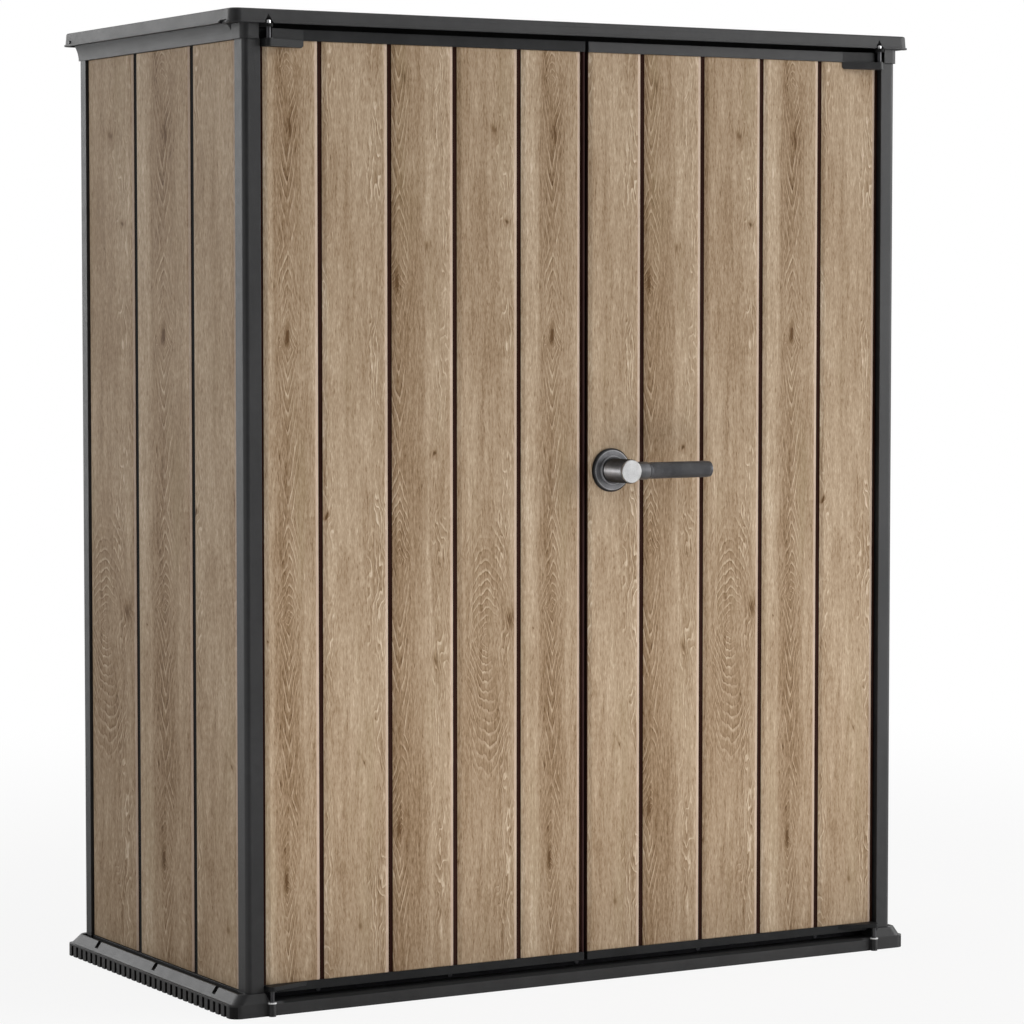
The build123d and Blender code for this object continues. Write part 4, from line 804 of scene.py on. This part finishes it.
def coated_metal(name, colour, rough, metal, tones=None, lean=None, tip=None):
    """Powder coat on die-cast metal.

    tones: a way to measure distance, and the stops of a painted highlight and shade by that distance
    lean: tips the normal, so that a round piece mirrors another side of the room
    tip: the height above which a glint is painted bright
    """
    finish, shader, place = new_finish(name)
    peel, cloudy = cloud(place, 700, 2.0), cloud(place, 45, 3.0)
    tint = blend(step(cloudy + peel * 0.6, -0.3, 0.3), colour, shade(colour, 1.7, 0.01))
    normal = rounded(place, 0.0006)
    if tones:
        measure, stops = tones
        tone = place.node("ShaderNodeValToRGB", {"stops": stops}, {"Fac": measure(place) / TONE_REACH})
        tint = tint.node("ShaderNodeVectorMath", {"operation": "MULTIPLY"}, {0: tint, 1: tone})
    if lean:
        normal = normal.node("ShaderNodeVectorMath", {"operation": "ADD"}, {0: normal, 1: lean})
        normal = normal.node("ShaderNodeVectorMath", {"operation": "NORMALIZE"}, {0: normal})
    # Painted glint: above this height the colour is painted bright.
    if tip:
        tint = blend(step(coordinate(place, "Z"), tip - 0.0003, tip + 0.0003), tint, PAINTED_GLINT)
    plug_in(shader, {"Base Color": tint, "Roughness": rough + cloudy * 0.12 + peel * 0.1, "Metallic": metal,
                     "Normal": bumpy(peel, 0.00006, normal), "IOR": 1.36})
    return finish


def plated_metal(name, colour, rough, stretch, per_metre):
    """Bare or plated metal with fine lines along the stretched direction."""
    finish, shader, place = new_finish(name)
    lines, cloudy = cloud(place, per_metre, 3.0, stretch), cloud(place, 90, 3.0)
    plug_in(shader, {"Base Color": blend(step(lines * 0.7 + cloudy, -0.3, 0.25), shade(colour, 0.62), colour),
                     "Roughness": rough + lines * 0.22 + cloudy * 0.15, "Metallic": 1.0,
                     "Normal": bumpy(lines, 0.00004, rounded(place, 0.0004))})
    return finish


def turned_metal(name, colour, rough):
    """Metal turned on a lathe, with rings round the handle's hub."""
    finish, shader, place = new_finish(name)
    radius = from_hub(place)
    ringed = radius.node("ShaderNodeTexNoise", {"noise_dimensions": "1D"},
                         {"W": radius * 2600, "Scale": 1.0, "Detail": 2.0}) - 0.5
    cloudy = cloud(place, 80, 2.0)
    plug_in(shader, {"Base Color": blend(step(ringed + cloudy * 0.5, -0.3, 0.2), shade(colour, 0.7), colour),
                     "Roughness": rough + ringed * 0.25, "Metallic": 1.0,
                     "Normal": bumpy(ringed, 0.00004, rounded(place, 0.0006))})
    return finish


print("the handle's axis is at x =", round(hub.x, 4), "and z =", round(hub.z, 4))

# %% [markdown]
# Each metal has a colour and a roughness, and the coated ones a share of metal under the coat.

# %% Mix the metals
# Painted highlights and painted shade: the rose gets pale rings and a dark rim, the neck a bright middle that
# darkens above and below.
ROSE_PAINTED_LIGHT = [(0.0, grey(0.3)), (0.6, grey(0.45)), (0.62, grey(1.9)), (0.64, grey(1.9)), (0.66, grey(0.8)),
              (0.85, grey(1.1)), (0.865, grey(1.9)), (0.885, grey(1.9)), (0.91, grey(0.4)), (0.97, grey(0.08))]
NECK_PAINTED_LIGHT = [(0.0, grey(2.4)), (0.12, grey(1.6)), (0.26, grey(0.6)), (0.42, grey(0.25)), (0.55, grey(0.12))]
PIN_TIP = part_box("left_hinge_pins")[1].z - 0.0052
FINISHES.update({
    "handle_metal": coated_metal("handle_coat", paint(88, 88, 90), 0.36, 0.75),
    "rose_metal": coated_metal("rose_coat", paint(98, 98, 100), 0.36, 0.75, tones=(from_hub, ROSE_PAINTED_LIGHT)),
    "neck_metal": coated_metal("neck_coat", paint(104, 104, 106), 0.32, 0.75, tones=(above_hub, NECK_PAINTED_LIGHT),
                               lean=(0, -0.58, 0)),
    "grip_metal": coated_metal("grip_coat", paint(72, 72, 74), 0.32, 0.6),
    "satin_metal": turned_metal("turned_cap", paint(200, 200, 200), 0.34),
    "steel": plated_metal("zinc_plate", paint(226, 226, 228), 0.3, (1, 1, 0.3), 300),
    # The threshold strip is coloured near black.
    "aluminium_strip": plated_metal("near_black_strip", paint(30, 30, 32), 0.5, (0.02, 1, 1), 1400),
    "dark_steel": coated_metal("blackened_steel", paint(44, 44, 46), 0.36, 0.7),
    "washer_steel": coated_metal("bright_washer", paint(238, 238, 238), 0.4, 0.2),
    "pin_steel": coated_metal("pin_steel", paint(62, 62, 64), 0.36, 0.7, tip=PIN_TIP),
})
grip.data.materials.append(FINISHES["grip_metal"])
print("finishes:", ", ".join(FINISHES))

# %% [markdown]
# ## Dress the solids
# Each solid came with a plain colour named after its material slot, and the finish of that name goes into
# the slot. Some solids take a special finish instead, because they lie in shade or have recesses, where
# shade is painted, because they show their inside, or because highlights are painted on them.

# %% Put the finishes on
SPECIAL = {
    "floor_resin": ["floor_panel"],
    "bracket_resin": ["left_corner_bracket", "right_corner_bracket"],
    "shade_resin": ["header_beam", "upper_stop_rail"],
    "shaded_rail_resin": ["left_door_top_rail", "left_door_bottom_rail", "right_door_bottom_rail"],
    "skin_resin": ["left_door_inner_skin", "right_door_inner_skin"],
    "wall_resin": ["left_wall_panel", "right_wall_panel", "left_rear_panel", "right_rear_panel"],
    "rose_metal": ["handle_rose"],
    "neck_metal": ["handle_neck"],
    "pin_steel": ["left_hinge_pins", "right_hinge_pins"],
    "washer_steel": ["hinge_washers"],
    "dark_steel": ["roof_screws", "threshold_screws"],
}
finish_of = {node: finish for finish, nodes in SPECIAL.items() for node in nodes}
dressed = 0
for node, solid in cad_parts.items():
    for place in solid.material_slots:
        name = finish_of.get(node, place.material.name.split(".")[0])
        if name in FINISHES:
            place.material = FINISHES[name]
            dressed += 1
        else:
            print("no finish for", node, name)
print(dressed, "solids dressed")
